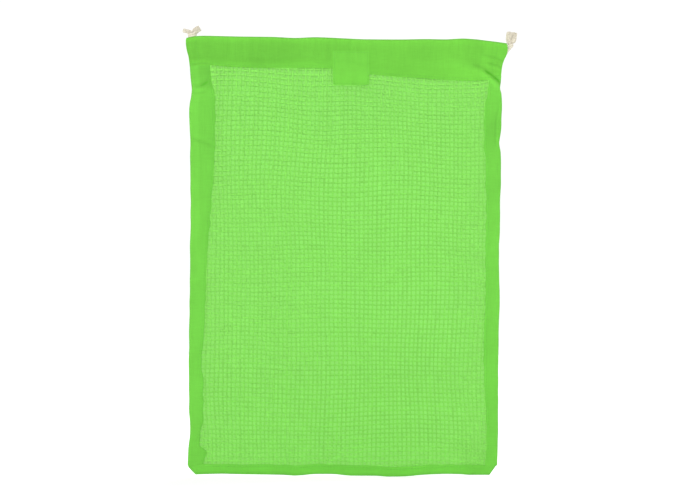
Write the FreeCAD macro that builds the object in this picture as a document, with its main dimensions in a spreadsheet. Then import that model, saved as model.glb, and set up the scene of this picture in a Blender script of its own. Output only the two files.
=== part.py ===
import FreeCAD, Part
import math
import os

import Sketcher
from FreeCAD import Placement, Rotation, Vector

# Flat drawstring bag of thin cotton: a net front, a plain woven back, plain bands round
# the net, a folded casing along each side of the mouth and two drawcords, one knotted at
# each top corner.  Millimetres.  X runs across the bag, Z up towards the mouth, and the
# front faces -Y.  The origin is the middle of the bottom edge, on the plane of the back.

# Driving dimensions: alias and value of each spreadsheet row.
DIMENSIONS = {
    "body_width": 300.0,        # flat width of the bag
    "top_width": 308.0,         # the casing ends stand out past the side seams
    "bag_height": 420.0,        # bottom edge to top fold
    "casing_height": 36.0,      # depth of the folded hem the cords run in
    "cloth_gauge": 0.8,         # thickness given to one sheet
    "casing_wall": 0.7,         # cloth round a cord channel
    "casing_depth": 4.4,        # one casing, front to back
    "mouth_gap": 5.0,           # between the two casings
    "casing_seam": 4.0,         # sewn allowance under the channel
    "casing_reach": 138.0,      # half length of the casing without its ends
    "channel_reach": 145.0,     # where the inner cloth of the casing stops
    "front_face": 13.0,         # front of the bands, measured forward from the back
    "side_band": 20.0,          # cover of a side band on the front
    "side_inner": 12.0,         # turn-in of a side band on the back
    "bottom_band": 10.0,        # cover of the bottom band on the front
    "corner_across": 7.0,       # cut corners at the bottom
    "corner_up": 9.0,
    "cord_radius": 1.3,
    "left_cord_level": 409.0,   # height of the cord that leaves at the left corner
    "right_cord_level": 401.0,  # and of the one that leaves at the right corner
    "loop_centre": 145.5,       # where each cord turns round the far casing end
    "label_width": 35.0,
    "label_centre": 4.0,        # the label sits a little right of the middle
    "label_bottom": 374.0,
    "label_top": 407.0,
    "label_gauge": 0.6,
    "thread": 0.5,              # thread line width
    "thread_proud": 0.3,        # thread line thickness, and depth of a back channel
    "slack": 0.2,               # clearance between pieces that move
}
SIDES = (("right", 1), ("left", -1))  # name and sign of X

doc = FreeCAD.newDocument("drawstring_bag")
sheet = doc.addObject("Spreadsheet::Sheet", "Sheet")
for row, (alias, amount) in enumerate(DIMENSIONS.items(), start=1):
    sheet.set(f"A{row}", alias)
    sheet.set(f"B{row}", repr(amount))
    sheet.setAlias(f"B{row}", alias)
doc.recompute()


class Size:
    """A length with the spreadsheet formula that gives it."""

    def __init__(self, value, text=None):
        self.value = float(value)
        self.text = text or repr(self.value)

    def _formula(self, sign, other):
        return f"({self.text} {sign} {other.text})"

    def __add__(self, other):
        other = as_size(other)
        return Size(self.value + other.value, self._formula("+", other))

    def __sub__(self, other):
        other = as_size(other)
        return Size(self.value - other.value, self._formula("-", other))

    def __mul__(self, other):
        other = as_size(other)
        return Size(self.value * other.value, self._formula("*", other))

    def __truediv__(self, other):
        other = as_size(other)
        return Size(self.value / other.value, self._formula("/", other))

    def __neg__(self):
        return Size(-self.value, f"(0 - {self.text})")


def as_size(value):
    return value if isinstance(value, Size) else Size(value)


size = {alias: Size(getattr(sheet, alias), f"Sheet.{alias}") for alias in DIMENSIONS}
ZERO = Size(0, "0")

# Lengths shared by several pieces
half = size["body_width"] / 2
height = size["bag_height"]
seam_line = height - size["casing_height"]  # where the casing is sewn to the bag
gauge, wall = size["cloth_gauge"], size["casing_wall"]
across, up = size["corner_across"], size["corner_up"]
band_top = size["bottom_band"]
depth = size["casing_depth"] * 2 + size["mouth_gap"]  # whole mouth, front to back
reach = size["casing_reach"]
cord_radius = size["cord_radius"]
half_thread, proud = size["thread"] / 2, size["thread_proud"]

# Places along Y
band_front, band_back = -size["front_face"], -gauge
back_casing_span = (ZERO, -size["casing_depth"])
front_casing_span = (-(size["casing_depth"] + size["mouth_gap"]), -depth)
mouth_middle = -(size["casing_depth"] + size["mouth_gap"] / 2)

# Thread rows
channel_half = 0.3                            # half width of a channel on the back
casing_row = seam_line + 2.0
side_row = half - size["side_inner"] + 3.0    # on the back, at each side
bottom_row = band_top / 2                     # on the back, along the bottom
seam_row_low, seam_row_high = band_top + 2.0, seam_line - 2.0

# Label patch
label_left = size["label_centre"] - size["label_width"] / 2
label_right = size["label_centre"] + size["label_width"] / 2
label_inset = 1.5                             # edge of the patch to its thread
row_left, row_right = label_left + label_inset, label_right - label_inset
row_bottom = size["label_bottom"] + label_inset
row_top = size["label_top"] - label_inset
label_sink = 0.02                             # thread below the face of the patch

pieces = []  # every object that is exported


# ---------------------------------------------------------------- outlines
def rect(x0, y0, x1, y1):
    return [(x0, y0), (x1, y0), (x1, y1), (x0, y1)]


def on_side(loop, side):
    """A loop drawn for the right side, mirrored in X for the left."""
    return loop if side > 0 else [(-x, y) for x, y in loop]


def span_on_side(x0, x1, side):
    return (x0, x1) if side > 0 else (-x1, -x0)


def symmetric(right_half):
    """A closed outline from the points of its right half."""
    return right_half + on_side(right_half, -1)[::-1]


# ---------------------------------------------------------------- sketches and features
def constrain(sketch, index, point):
    """Ties the start of one line of a sketch to the sheet."""
    for kind, value, axis in (("DistanceX", point[0], -2), ("DistanceY", point[1], -1)):
        value = as_size(value)
        if abs(value.value) < 1e-9:
            sketch.addConstraint(Sketcher.Constraint("PointOnObject", index, 1, axis))
        else:
            added = sketch.addConstraint(
                Sketcher.Constraint(kind, -1, 1, index, 1, value.value)
            )
            sketch.setExpression(f"Constraints[{added}]", value.text)


def sketch_of(body, role, loops, offset=ZERO, name="Profile"):
    """A fully dimensioned sketch of closed polygons on one of the body's own planes.

    The offset runs along the plane's normal, which is -Y for XZ_Plane.
    """
    plane = next(f for f in body.Origin.OriginFeatures if f.Role == role)
    sketch = body.newObject("Sketcher::SketchObject", name)
    sketch.AttachmentSupport = [(plane, "")]
    sketch.MapMode = "FlatFace"
    sketch.AttachmentOffset = Placement(Vector(0, 0, offset.value), Rotation())
    if offset is not ZERO:
        sketch.setExpression("AttachmentOffset.Base.z", offset.text)
    for loop in loops:
        start, count = sketch.GeometryCount, len(loop)
        corners = [Vector(as_size(x).value, as_size(y).value, 0) for x, y in loop]
        for a, b in zip(corners, corners[1:] + corners[:1]):
            sketch.addGeometry(Part.LineSegment(a, b), False)
        for i in range(count):
            following = start + (i + 1) % count
            sketch.addConstraint(
                Sketcher.Constraint("Coincident", start + i, 2, following, 1)
            )
        for i, point in enumerate(loop):
            constrain(sketch, start + i, point)
    return sketch


def new_body(label):
    body = doc.addObject("PartDesign::Body", "Body_" + label)
    body.Label = label
    pieces.append(body)
    return body


def extrude(body, kind, sketch, length, midplane):
    feature = body.newObject("PartDesign::" + kind, kind)
    feature.Profile = sketch
    feature.Length = length.value
    feature.setExpression("Length", length.text)
    feature.Midplane = midplane
    body.Tip = feature
    return feature


def pad(body, sketch, length, midplane=False):
    return extrude(body, "Pad", sketch, length, midplane)


def pocket(body, sketch, length, midplane=False):
    doc.recompute()
    before = body.Shape.Volume
    extrude(body, "Pocket", sketch, length, midplane)
    doc.recompute()
    assert before - body.Shape.Volume > 10, f"{sketch.Label} cuts nothing"


def fillet(body, base, name, radius, wanted):
    """Rounds the edges of the base whose bounding box passes the wanted test."""
    doc.recompute()
    feature = body.newObject("PartDesign::Fillet", name)
    edges = enumerate(base.Shape.Edges, start=1)
    feature.Base = (base, [f"Edge{n}" for n, edge in edges if wanted(edge.BoundBox)])
    feature.Radius = radius
    body.Tip = feature


def compound(label, members):
    group = doc.addObject("Part::Compound", "Compound_" + label)
    group.Links = members
    group.Label = label
    pieces.append(group)


# ---------------------------------------------------------------- panels
def back_panel():
    """Plain woven sheet with cut bottom corners.

    Three shallow channels in its outer face let the seam threads lie flush, as a tight
    lockstitch sinks into cotton.
    """
    body = new_body("back_panel")
    outline = symmetric([(half - across, ZERO), (half, up), (half, seam_line)])
    pad(body, sketch_of(body, "XZ_Plane", [outline]), gauge)
    side = rect(
        side_row - channel_half, seam_row_low, side_row + channel_half, seam_row_high
    )
    bottom_end = half - 12.0
    bottom = rect(
        -bottom_end, bottom_row - channel_half, bottom_end, bottom_row + channel_half
    )
    channels = [side, on_side(side, -1), bottom]
    sketch = sketch_of(body, "XZ_Plane", channels, name="Channels")
    pocket(body, sketch, proud * 2, midplane=True)


def front_mesh_panel():
    """The net, drawn as one closed sheet of its true outline, inside the bands."""
    body = new_body("front_mesh_panel")
    edge = gauge + 0.05
    corner_inset = 1.5
    outline = symmetric([
        (half - across - corner_inset, edge),
        (half - edge, up + corner_inset),
        (half - edge, seam_line),
    ])
    sketch = sketch_of(body, "XZ_Plane", [outline], size["front_face"] - gauge * 2)
    pad(body, sketch, gauge)


# ---------------------------------------------------------------- bands
def side_band(name, side):
    """Wraps the raw edge of the net: a wide leg over the front, the fold at the side and
    a narrower leg inside, against the back panel."""
    body = new_body(name + "_side_band")
    wide, turned = half - size["side_band"], half - size["side_inner"]
    section = [
        (wide, band_front), (half, band_front), (half, band_back), (turned, band_back),
        (turned, band_back - gauge), (half - gauge, band_back - gauge),
        (half - gauge, band_front + gauge), (wide, band_front + gauge),
    ]
    sketch = sketch_of(body, "XY_Plane", [on_side(section, side)], band_top)
    pad(body, sketch, seam_line - band_top)


def bottom_band():
    """The same fold along the bottom, with its two corners cut off."""
    body = new_body("bottom_band")
    back_top = band_top - 2.0
    section = [
        (band_front, ZERO), (band_back, ZERO), (band_back, back_top),
        (band_back - gauge, back_top), (band_back - gauge, gauge),
        (band_front + gauge, gauge), (band_front + gauge, band_top),
        (band_front, band_top),
    ]
    pad(body, sketch_of(body, "YZ_Plane", [section]), size["body_width"], midplane=True)
    beyond = half + 5.0
    corner = [
        (half - across, -up), (beyond, -up), (beyond, up), (half, up),
        (half - across, ZERO),
    ]
    corners = [corner, on_side(corner, -1)]
    sketch = sketch_of(body, "XZ_Plane", corners, name="Corners")
    pocket(body, sketch, depth * 3, midplane=True)


# ---------------------------------------------------------------- casings
def casing_section(span, low_edge, notch=None):
    """Cross-section of a folded casing between two depths, with the sewn allowance below
    the cord channel.  notch is the height of a thread channel in the near face."""
    near, far = span
    floor, roof = low_edge + size["casing_seam"], height - wall
    inner = [
        (near - wall, floor), (near - wall, roof), (far + wall, roof), (far + wall, floor),
    ]
    outer = [(near, low_edge), (near, height), (far, height), (far, low_edge)]
    if notch is not None:
        low, high = notch - channel_half, notch + channel_half
        outer[1:1] = [
            (near, low), (near - proud, low), (near - proud, high), (near, high),
        ]
    return [outer, inner]


def casing(label, span, notch=None):
    body = new_body(label)
    sketch = sketch_of(body, "YZ_Plane", casing_section(span, seam_line, notch))
    pad(body, sketch, (reach - size["slack"]) * 2, midplane=True)


def casing_end(name, side):
    """The last 16 mm of the mouth at one side.

    The inner cloth of both channels stops short so that a cord can turn round it.  The
    outer cloth runs on to a slanted end, and the top of the side seam ties front and back
    together under the cords.
    """
    body = new_body(name + "_casing_end")
    stop = size["channel_reach"]
    start = reach if side > 0 else -stop
    low_end = seam_line + 0.3
    tip_high, tip_low = size["top_width"] / 2, half - 1.0
    tip_cut = 1.5
    flap = [
        (stop, low_end), (tip_low, low_end), (tip_high, height - tip_cut),
        (tip_high - tip_cut, height), (stop, height),
    ]
    web = rect(tip_low - 3.0, low_end, tip_low, low_end + 8.0)

    def add_channel(feature_name, span):
        section = casing_section(span, low_end)
        sketch = sketch_of(body, "YZ_Plane", section, start, feature_name)
        pad(body, sketch, stop - reach)

    def add_sheet(feature_name, loop, offset, thickness):
        loops = [on_side(loop, side)]
        pad(body, sketch_of(body, "XZ_Plane", loops, offset, feature_name), thickness)

    add_channel("FrontChannel", front_casing_span)
    add_sheet("FrontFlap", flap, depth - wall, wall)
    add_sheet("SideSeamTop", web, wall, depth - wall * 2)
    add_sheet("BackFlap", flap, ZERO, wall)
    add_channel("BackChannel", back_casing_span)


# ---------------------------------------------------------------- drawcords
def rounded_wire(points, radii):
    """Straight runs through the points with an arc of the given radius at each bend."""
    edges, last = [], points[0]
    for before, bend, after, radius in zip(points, points[1:], points[2:], radii):
        inward, outward = (before - bend).normalize(), (after - bend).normalize()
        angle = math.acos(max(-1.0, min(1.0, inward.dot(outward))))
        setback = radius / math.tan(angle / 2)
        arc_start, arc_end = bend + inward * setback, bend + outward * setback
        bisector = (inward + outward).normalize()
        centre = bend + bisector * (radius / math.sin(angle / 2))
        edges.append(Part.LineSegment(last, arc_start).toShape())
        edges.append(Part.Arc(arc_start, centre - bisector * radius, arc_end).toShape())
        last = arc_end
    edges.append(Part.LineSegment(last, points[-1]).toShape())
    return Part.Wire(edges)


def drawcord(label, side, level, end, neck, exit_x):
    """A cord that leaves at one side and turns round the casing end at the other.

    end and neck are the (x, z) of the paired strands above the mouth, exit_x is where
    they spread to the two casings.
    """
    front_run = (front_casing_span[0] - size["casing_depth"] / 2).value
    back_run = (back_casing_span[1] + size["casing_depth"] / 2).value
    turn = (back_run - front_run) / 2
    middle = mouth_middle.value
    paired = middle - (cord_radius.value + 0.1)
    front_points = [
        Vector(end[0], paired, end[1]),
        Vector(neck[0], paired, neck[1]),
        Vector(exit_x, front_run, level),
    ]
    back_points = [Vector(p.x, 2 * middle - p.y, p.z) for p in front_points]
    # the far turn is a half circle, drawn as two square corners rounded to its radius
    far_x = -side * (size["loop_centre"].value + turn)
    far_points = [Vector(far_x, front_run, level), Vector(far_x, back_run, level)]
    points = front_points + far_points + back_points[::-1]
    turn_radius = turn - 0.001  # leaves a short straight between the two arcs
    radii = [1.8, 2.2, turn_radius, turn_radius, 2.2, 1.8]

    path = doc.addObject("Part::Feature", label + "_path")
    path.Shape = rounded_wire(points, radii)
    ring = doc.addObject("Part::Circle", label + "_section")
    ring.Radius = cord_radius.value
    ring.setExpression("Radius", cord_radius.text)
    direction = (points[1] - points[0]).normalize()
    ring.Placement = Placement(points[0], Rotation(Vector(0, 0, 1), direction))
    cord = doc.addObject("Part::Sweep", "Sweep_" + label)
    cord.Sections = [ring]
    cord.Spine = (path, [f"Edge{n + 1}" for n in range(len(path.Shape.Edges))])
    cord.Solid = True
    cord.Frenet = False
    cord.Label = label
    pieces.append(cord)


def drawcords():
    left_x = -149.0
    left_level = size["left_cord_level"].value
    drawcord(
        "left_cord", -1, left_level,
        end=(left_x, height.value - 0.5), neck=(left_x, left_level + 5.0), exit_x=left_x,
    )
    drawcord(
        "right_cord", 1, size["right_cord_level"].value,
        end=(157.4, 408.4), neck=(156.6, 405.0), exit_x=151.4,
    )
    doc.recompute()


def knot(label, x, z, radius, tall):
    """An overhand knot in the doubled cord: two fat turns with a waist between them."""
    body = new_body(label)
    neck = cord_radius * 1.9
    waist, upper = radius - 0.7, radius - 0.1
    profile = [
        (ZERO, ZERO), (neck, ZERO), (radius, tall * 0.2), (radius, tall * 0.42),
        (waist, tall * 0.5), (upper, tall * 0.58), (upper, tall * 0.8),
        (neck, tall), (ZERO, tall),
    ]
    sketch = sketch_of(body, "XZ_Plane", [profile], name="Turns")
    turned = body.newObject("PartDesign::Revolution", "Revolution")
    turned.Profile = sketch
    turned.ReferenceAxis = (sketch, ["V_Axis"])
    turned.Angle = 360.0
    body.Tip = turned
    # the rings of the turns and the waist, but not those of the neck
    narrowest = 2 * radius.value - 1.6
    fillet(body, turned, "Fillet", 0.35, lambda box: box.XLength > narrowest)
    body.Placement = Placement(Vector(x, mouth_middle.value, z), Rotation())


def cord_tails(label, tails):
    """The two free ends of a cord past its knot, each opening towards a frayed tip.

    Each tail: start x, y, z (y from the middle of the mouth), run x, y, z, tip radius.
    """
    members = []
    for n, (x, y, z, run_x, run_y, run_z, tip_radius) in enumerate(tails):
        cone = doc.addObject("Part::Cone", f"{label}_{n}")
        cone.Radius1, cone.Radius2 = 1.1, tip_radius
        run = Vector(run_x, run_y, run_z)
        cone.Height = run.Length
        start = Vector(x, mouth_middle.value + y, z)
        cone.Placement = Placement(start, Rotation(Vector(0, 0, 1), run))
        members.append(cone)
    compound(label, members)


def knots_and_tails():
    knot("left_knot", -148.6, 419.6, radius=cord_radius * 3.5, tall=cord_radius * 4.2)
    cord_tails("left_cord_tails", [
        (-150.4, -0.6, 426.2, -5.2, -0.3, 2.6, 1.7),
        (-146.4, 0.6, 426.0, 3.4, 0.3, 4.2, 1.8),
    ])
    knot("right_knot", 157.9, 409.1, radius=cord_radius * 2.5, tall=cord_radius * 5.0)
    cord_tails("right_cord_tails", [
        (156.3, -0.4, 415.9, -0.5, -0.2, 9.6, 1.9),
        (159.3, 0.4, 416.1, 2.6, 0.2, 9.2, 1.9),
    ])


# ---------------------------------------------------------------- label patch
def label_patch():
    """A blank patch of the same cotton, sewn over the casing and hanging just below it,
    with a channel for its thread round the front."""
    body = new_body("label_patch")
    patch = rect(label_left, size["label_bottom"], label_right, size["label_top"])
    base = pad(body, sketch_of(body, "XZ_Plane", [patch], depth), size["label_gauge"])

    def runs_front_to_back(box):
        return box.YLength > 0.5 and box.XLength < 0.1 and box.ZLength < 0.1

    fillet(body, base, "Corners", 1.2, runs_front_to_back)
    doc.recompute()
    play = 0.1  # clearance each side of the thread
    margin = half_thread + play
    inner = size["thread"] + play
    ring = [
        rect(row_left - play, row_bottom - margin, row_right + play, row_top + margin),
        rect(row_left + inner, row_bottom + margin, row_right - inner, row_top - margin),
    ]
    patch_front = depth + size["label_gauge"]
    sketch = sketch_of(body, "XZ_Plane", ring, patch_front, "ThreadChannel")
    pocket(body, sketch, proud + label_sink)


# ---------------------------------------------------------------- seam threads
def thread_run(name, x_span, y_span, z_span):
    """One run of thread as a slim bar, its sizes and place tied to the sheet."""
    box = doc.addObject("Part::Box", name)
    spans = (x_span, y_span, z_span)
    for prop, (low, high) in zip(("Length", "Width", "Height"), spans):
        extent = high - low
        setattr(box, prop, extent.value)
        box.setExpression(prop, extent.text)
    box.Placement = Placement(Vector(*[low.value for low, _ in spans]), Rotation())
    for axis, (low, _) in zip("xyz", spans):
        box.setExpression(f"Placement.Base.{axis}", low.text)
    return box


def threads(label, y_span, runs):
    """Runs of thread at one depth, each given by its spans in X and Z."""
    compound(label, [
        thread_run(f"{label}_{n}", x_span, y_span, z_span)
        for n, (x_span, z_span) in enumerate(runs)
    ])


def thread_width(row):
    return row - half_thread, row + half_thread


def stitching():
    on_casing = (-depth - proud, -depth)
    on_band = (band_front - proud, band_front)
    in_back = (-proud + 0.02, ZERO)
    casing_run = reach - 1.0
    label_gap = 0.5
    threads("front_casing_stitching", on_casing, [
        ((-casing_run, label_left - label_gap), thread_width(casing_row)),
        ((label_right + label_gap, casing_run), thread_width(casing_row)),
    ])
    threads("back_casing_stitching", in_back, [
        ((-casing_run, casing_run), thread_width(casing_row)),
    ])

    band_row = thread_width(half - size["side_band"] + 2.5)
    for name, side in SIDES:
        threads(name + "_band_stitching", on_band, [
            (span_on_side(*band_row, side), (seam_row_low, seam_row_high)),
        ])
    bottom_run = half - 22.0
    threads("bottom_band_stitching", on_band, [
        ((-bottom_run, bottom_run), thread_width(band_top - 2.3)),
    ])

    side_run = (seam_row_low + 0.5, seam_row_high - 0.5)
    back_run = half - 12.5
    threads("back_seam_stitching", in_back, [
        (thread_width(side_row), side_run),
        (thread_width(-side_row), side_run),
        ((-back_run, back_run), thread_width(bottom_row)),
    ])

    face = -depth - size["label_gauge"] + label_sink
    upright = (row_bottom + half_thread + 0.1, row_top - half_thread - 0.1)
    threads("label_stitching", (face, face + proud), [
        ((row_left, row_right), thread_width(row_top)),
        ((row_left, row_right), thread_width(row_bottom)),
        ((row_left, row_left + size["thread"]), upright),
        ((row_right - size["thread"], row_right), upright),
    ])

    end_row = reach + 3.0
    for name, side in SIDES:
        threads(name + "_end_stitching", on_casing, [
            (
                span_on_side(end_row, end_row + size["thread"], side),
                (seam_line + 5.0, height - 4.0),
            ),
        ])


# ---------------------------------------------------------------- output
def export_pieces():
    for obj in doc.Objects:
        bad = [state for state in obj.State if state in ("Invalid", "Error")]
        assert not bad, f"{obj.Label} is {bad}"
    os.makedirs("parts", exist_ok=True)
    for old in os.listdir("parts"):
        if old.endswith(".step"):
            os.remove(os.path.join("parts", old))
    for piece in pieces:
        label, shape = piece.Label, piece.Shape
        assert not shape.isNull() and shape.isValid(), f"{label} has no valid shape"
        assert shape.Solids, f"{label} has no solid"
        assert all(s.Volume > 0.5 for s in shape.Solids), f"{label} has an empty solid"
        shape.exportStep(os.path.join("parts", label + ".step"))


back_panel()
front_mesh_panel()
for side_name, side_sign in SIDES:
    side_band(side_name, side_sign)
bottom_band()
casing("back_casing", back_casing_span, notch=casing_row)
casing("front_casing", front_casing_span)
for side_name, side_sign in SIDES:
    casing_end(side_name, side_sign)
doc.recompute()
drawcords()
knots_and_tails()
label_patch()
stitching()
doc.recompute()
export_pieces()
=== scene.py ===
# A flat cotton drawstring bag, standing upright: net in front, plain cloth behind, bands folded
# round its edges, a cord casing along the mouth, a label and two knotted cords.
# x runs across the bag with its middle near 0, the front faces -y, and z rises from the bottom
# edge. Lengths are in millimetres until a mesh, light or camera is made, which is in metres.
import math

import bpy
import numpy as np
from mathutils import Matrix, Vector


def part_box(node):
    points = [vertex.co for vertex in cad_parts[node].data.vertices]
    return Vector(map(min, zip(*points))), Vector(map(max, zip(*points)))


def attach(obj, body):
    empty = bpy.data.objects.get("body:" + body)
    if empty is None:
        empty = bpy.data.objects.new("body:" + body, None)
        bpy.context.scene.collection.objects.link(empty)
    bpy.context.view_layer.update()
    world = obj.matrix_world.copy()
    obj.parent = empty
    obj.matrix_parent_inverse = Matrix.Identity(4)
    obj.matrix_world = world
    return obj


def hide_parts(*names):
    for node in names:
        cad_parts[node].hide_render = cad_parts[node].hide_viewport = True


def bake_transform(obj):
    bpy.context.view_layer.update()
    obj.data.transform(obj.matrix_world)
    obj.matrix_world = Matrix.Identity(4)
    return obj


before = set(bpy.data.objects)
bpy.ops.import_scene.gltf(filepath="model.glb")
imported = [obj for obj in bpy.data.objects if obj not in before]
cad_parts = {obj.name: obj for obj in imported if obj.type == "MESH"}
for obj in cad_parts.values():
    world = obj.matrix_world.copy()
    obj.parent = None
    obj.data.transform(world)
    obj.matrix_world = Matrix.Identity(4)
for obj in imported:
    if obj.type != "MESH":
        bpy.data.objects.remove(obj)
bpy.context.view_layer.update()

MM = 0.001
PI = math.pi
SIDES = {-1: "left", 1: "right"}


# ------------------------------------------------------------------ sizes from the frame
def span(piece):
    """The low and high corners of a frame piece."""
    low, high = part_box(piece)
    return np.array(low) / MM, np.array(high) / MM


def middle_y(piece):
    low, high = span(piece)
    return (low[1] + high[1]) / 2


HALF = span("back_panel")[1][0]             # half the width of the bag
SEAM = span("back_panel")[1][2]             # height where the casing is sewn on
TOP = span("front_casing")[1][2]
CASING_END = span("right_casing_end")[0][0]  # the casing is rigid beyond this x
BAND_LOW = span("left_side_band")[0][2]
(LABEL_LEFT, _, LABEL_LOW), (LABEL_RIGHT, _, LABEL_HIGH) = span("label_patch")
Y_MIDDLE = (span("front_casing")[1][1] + span("back_casing")[0][1]) / 2
Y_FRONT_CASING = middle_y("front_casing")
Y_BACK_CASING = middle_y("back_casing")
Y_NET = middle_y("front_mesh_panel")
Y_BACK = middle_y("back_panel")


# ------------------------------------------------------------------ small maths
def smooth(start, end, value):
    """0 at start, 1 at end, eased at both; start may be the larger."""
    part = np.clip((np.asarray(value, float) - start) / (end - start), 0, 1)
    return part * part * (3 - 2 * part)


def hill(value, centre, width):
    """A bell of height 1 about the centre."""
    return np.exp(-((value - centre) / width) ** 2)


def decay(distance, reach):
    """1 at and below zero distance, dying away beyond it."""
    return np.exp(-np.clip(distance, 0, None) / reach)


def curve(points, at):
    """A smooth line through (place, value) points, by monotone cubic steps."""
    places, values = np.array(points, float).T
    at = np.clip(np.asarray(at, float), places[0], places[-1])
    slope = np.diff(values) / np.diff(places)
    before, after = slope[:-1], slope[1:]
    mean = 2 * before * after / (before + after + 1e-12)
    tangent = np.concatenate(([slope[0]], np.where(before * after > 0, mean, 0), [slope[-1]]))
    i = np.clip(np.searchsorted(places, at, side="right") - 1, 0, len(places) - 2)
    step = places[i + 1] - places[i]
    part = (at - places[i]) / step
    return (
        (2 * part**3 - 3 * part**2 + 1) * values[i]
        + (part**3 - 2 * part**2 + part) * step * tangent[i]
        + (-2 * part**3 + 3 * part**2) * values[i + 1]
        + (part**3 - part**2) * step * tangent[i + 1]
    )


class Field:
    """Smooth seeded noise over the cloth: a sum of plane waves of about one length."""

    COUNT = 14

    def __init__(self, seed, length):
        random = np.random.default_rng(seed)
        angle = random.uniform(0, 2 * PI, self.COUNT)
        size = 2 * PI / (length * random.uniform(0.7, 1.5, self.COUNT))
        self.wave_x, self.wave_z = size * np.cos(angle), size * np.sin(angle)
        self.phase = random.uniform(0, 2 * PI, self.COUNT)
        self.gain = 1 / math.sqrt(self.COUNT / 2)

    def __call__(self, x, z):
        x, z = np.asarray(x, float), np.asarray(z, float)
        total = np.zeros(np.broadcast(x, z).shape)
        for wave_x, wave_z, phase in zip(self.wave_x, self.wave_z, self.phase):
            total = total + np.sin(wave_x * x + wave_z * z + phase)
        return total * self.gain


BROAD, MIDDLE, FINE = Field(3, 110), Field(5, 46), Field(8, 17)
BACK_BROAD, BACK_MIDDLE = Field(13, 120), Field(15, 50)
WANDER_X, WANDER_Z = Field(21, 42), Field(22, 38)
SLOW_X, SLOW_Z = Field(23, 150), Field(24, 140)

# ------------------------------------------------------------------ outline of the cloth
# How far each edge of the flat bag wanders from its pattern line.
# Side edges: (height, shift in x).
LEFT_EDGE = [
    (0, -2.7), (12, -2.4), (24, -1.8), (42, -0.2), (60, -0.9), (97, -1.5), (183, -0.4),
    (226, -0.1), (254, 0.5), (277, 0.0), (302, 0.0), (326, -0.2), (344, -1.1), (351, -0.4),
    (357, 0.9), (363, 1.3), (369, 0.8), (377, 0.0), (384, -0.7), (390, -1.2), (396, -1.9),
    (402, -3.1), (412, -4.2), (417, -4.3), (420, -3.8),
]
RIGHT_EDGE = [
    (0, -6.1), (14, -6.0), (32, -5.3), (60, -5.2), (133, -4.7), (177, -3.7), (197, -4.4),
    (217, -4.3), (237, -3.4), (256, -3.3), (277, -2.6), (293, -2.2), (310, -2.8), (319, -3.9),
    (326, -3.1), (340, -2.0), (358, -1.6), (368, -1.8), (374, -3.1), (380, -2.6), (386, -2.3),
    (393, -1.7), (398, -0.9), (403, 0.7), (407.5, 2.7), (411.5, 3.7), (414, 4.0), (417, 3.8),
    (420, 3.1),
]
# Level edges: (distance across, shift in z).
TOP_EDGE = [
    (-154, -2.4), (-150, -0.8), (-146, 0.1), (-141, 0.9), (-134, 1.2), (-120, 0.9), (-104, 0.5),
    (-71, 0.1), (-48, -0.9), (-29, -0.2), (-14, -0.7), (-2, -1.3), (20, -2.2), (52, -2.4),
    (78, -2.0), (96, -2.3), (113, -1.5), (123, -2.1), (134, -3.6), (143, -4.9), (150, -6.0),
    (154, -6.6),
]
SEAM_EDGE = [
    (-154, 9.6), (-132, 9.8), (-110, 8.2), (-81, 7.2), (-53, 7.2), (-24, 6.8), (4, 5.0),
    (21.6, 1.5), (34, 0.1), (51, -1.4), (65, -2.2), (91, -4.0), (120, -5.3), (154, -3.2),
]
BOTTOM_EDGE = [
    (-150, 0.0), (-132, 0.7), (-118, 1.0), (-102, 0.6), (-60, 0.0), (-48, -0.7), (-25, 0.8),
    (-13, 0.8), (8, -0.8), (30, -0.9), (44, -1.7), (58, -1.5), (78, 0.1), (100, 0.9),
    (112, 0.7), (124, 0.0), (150, 0.0),
]


def edge_drift(up, side):
    """The slow part of a side edge's wander, which carries right across the bag."""
    return -4.9 + up * 0.0068 if side > 0 else -0.9


def place(across, up):
    """The x and z where a point of the flat pattern lies."""
    across, up = np.asarray(across, float), np.asarray(up, float)
    x = across
    for side, edge in ((-1, LEFT_EDGE), (1, RIGHT_EDGE)):
        drift = edge_drift(up, side)
        share = np.clip((HALF + side * across) / (2 * HALF), 0, 1)
        # the quick part of the wander only reaches a few centimetres in
        x = x + drift * share + (curve(edge, up) - drift) * hill(across, side * HALF, 22.0)
    top, seam = curve(TOP_EDGE, across), curve(SEAM_EDGE, across)
    rise = np.clip((up - SEAM) / (TOP - SEAM), 0, 1)
    above, below = seam * (1 - rise) + top * rise, seam * decay(SEAM - up, 60.0)
    z = up + np.where(up >= SEAM, above, below)
    return x, z + curve(BOTTOM_EDGE, across) * decay(up, 16.0)


def pattern_of(x, z):
    """The pattern point that lies at a given place."""
    across, up = np.array(x, float), np.array(z, float)
    for _ in range(12):
        x_now, z_now = place(across, up)
        across, up = across + (x - x_now), up + (z - z_now)
    return across, up


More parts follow.
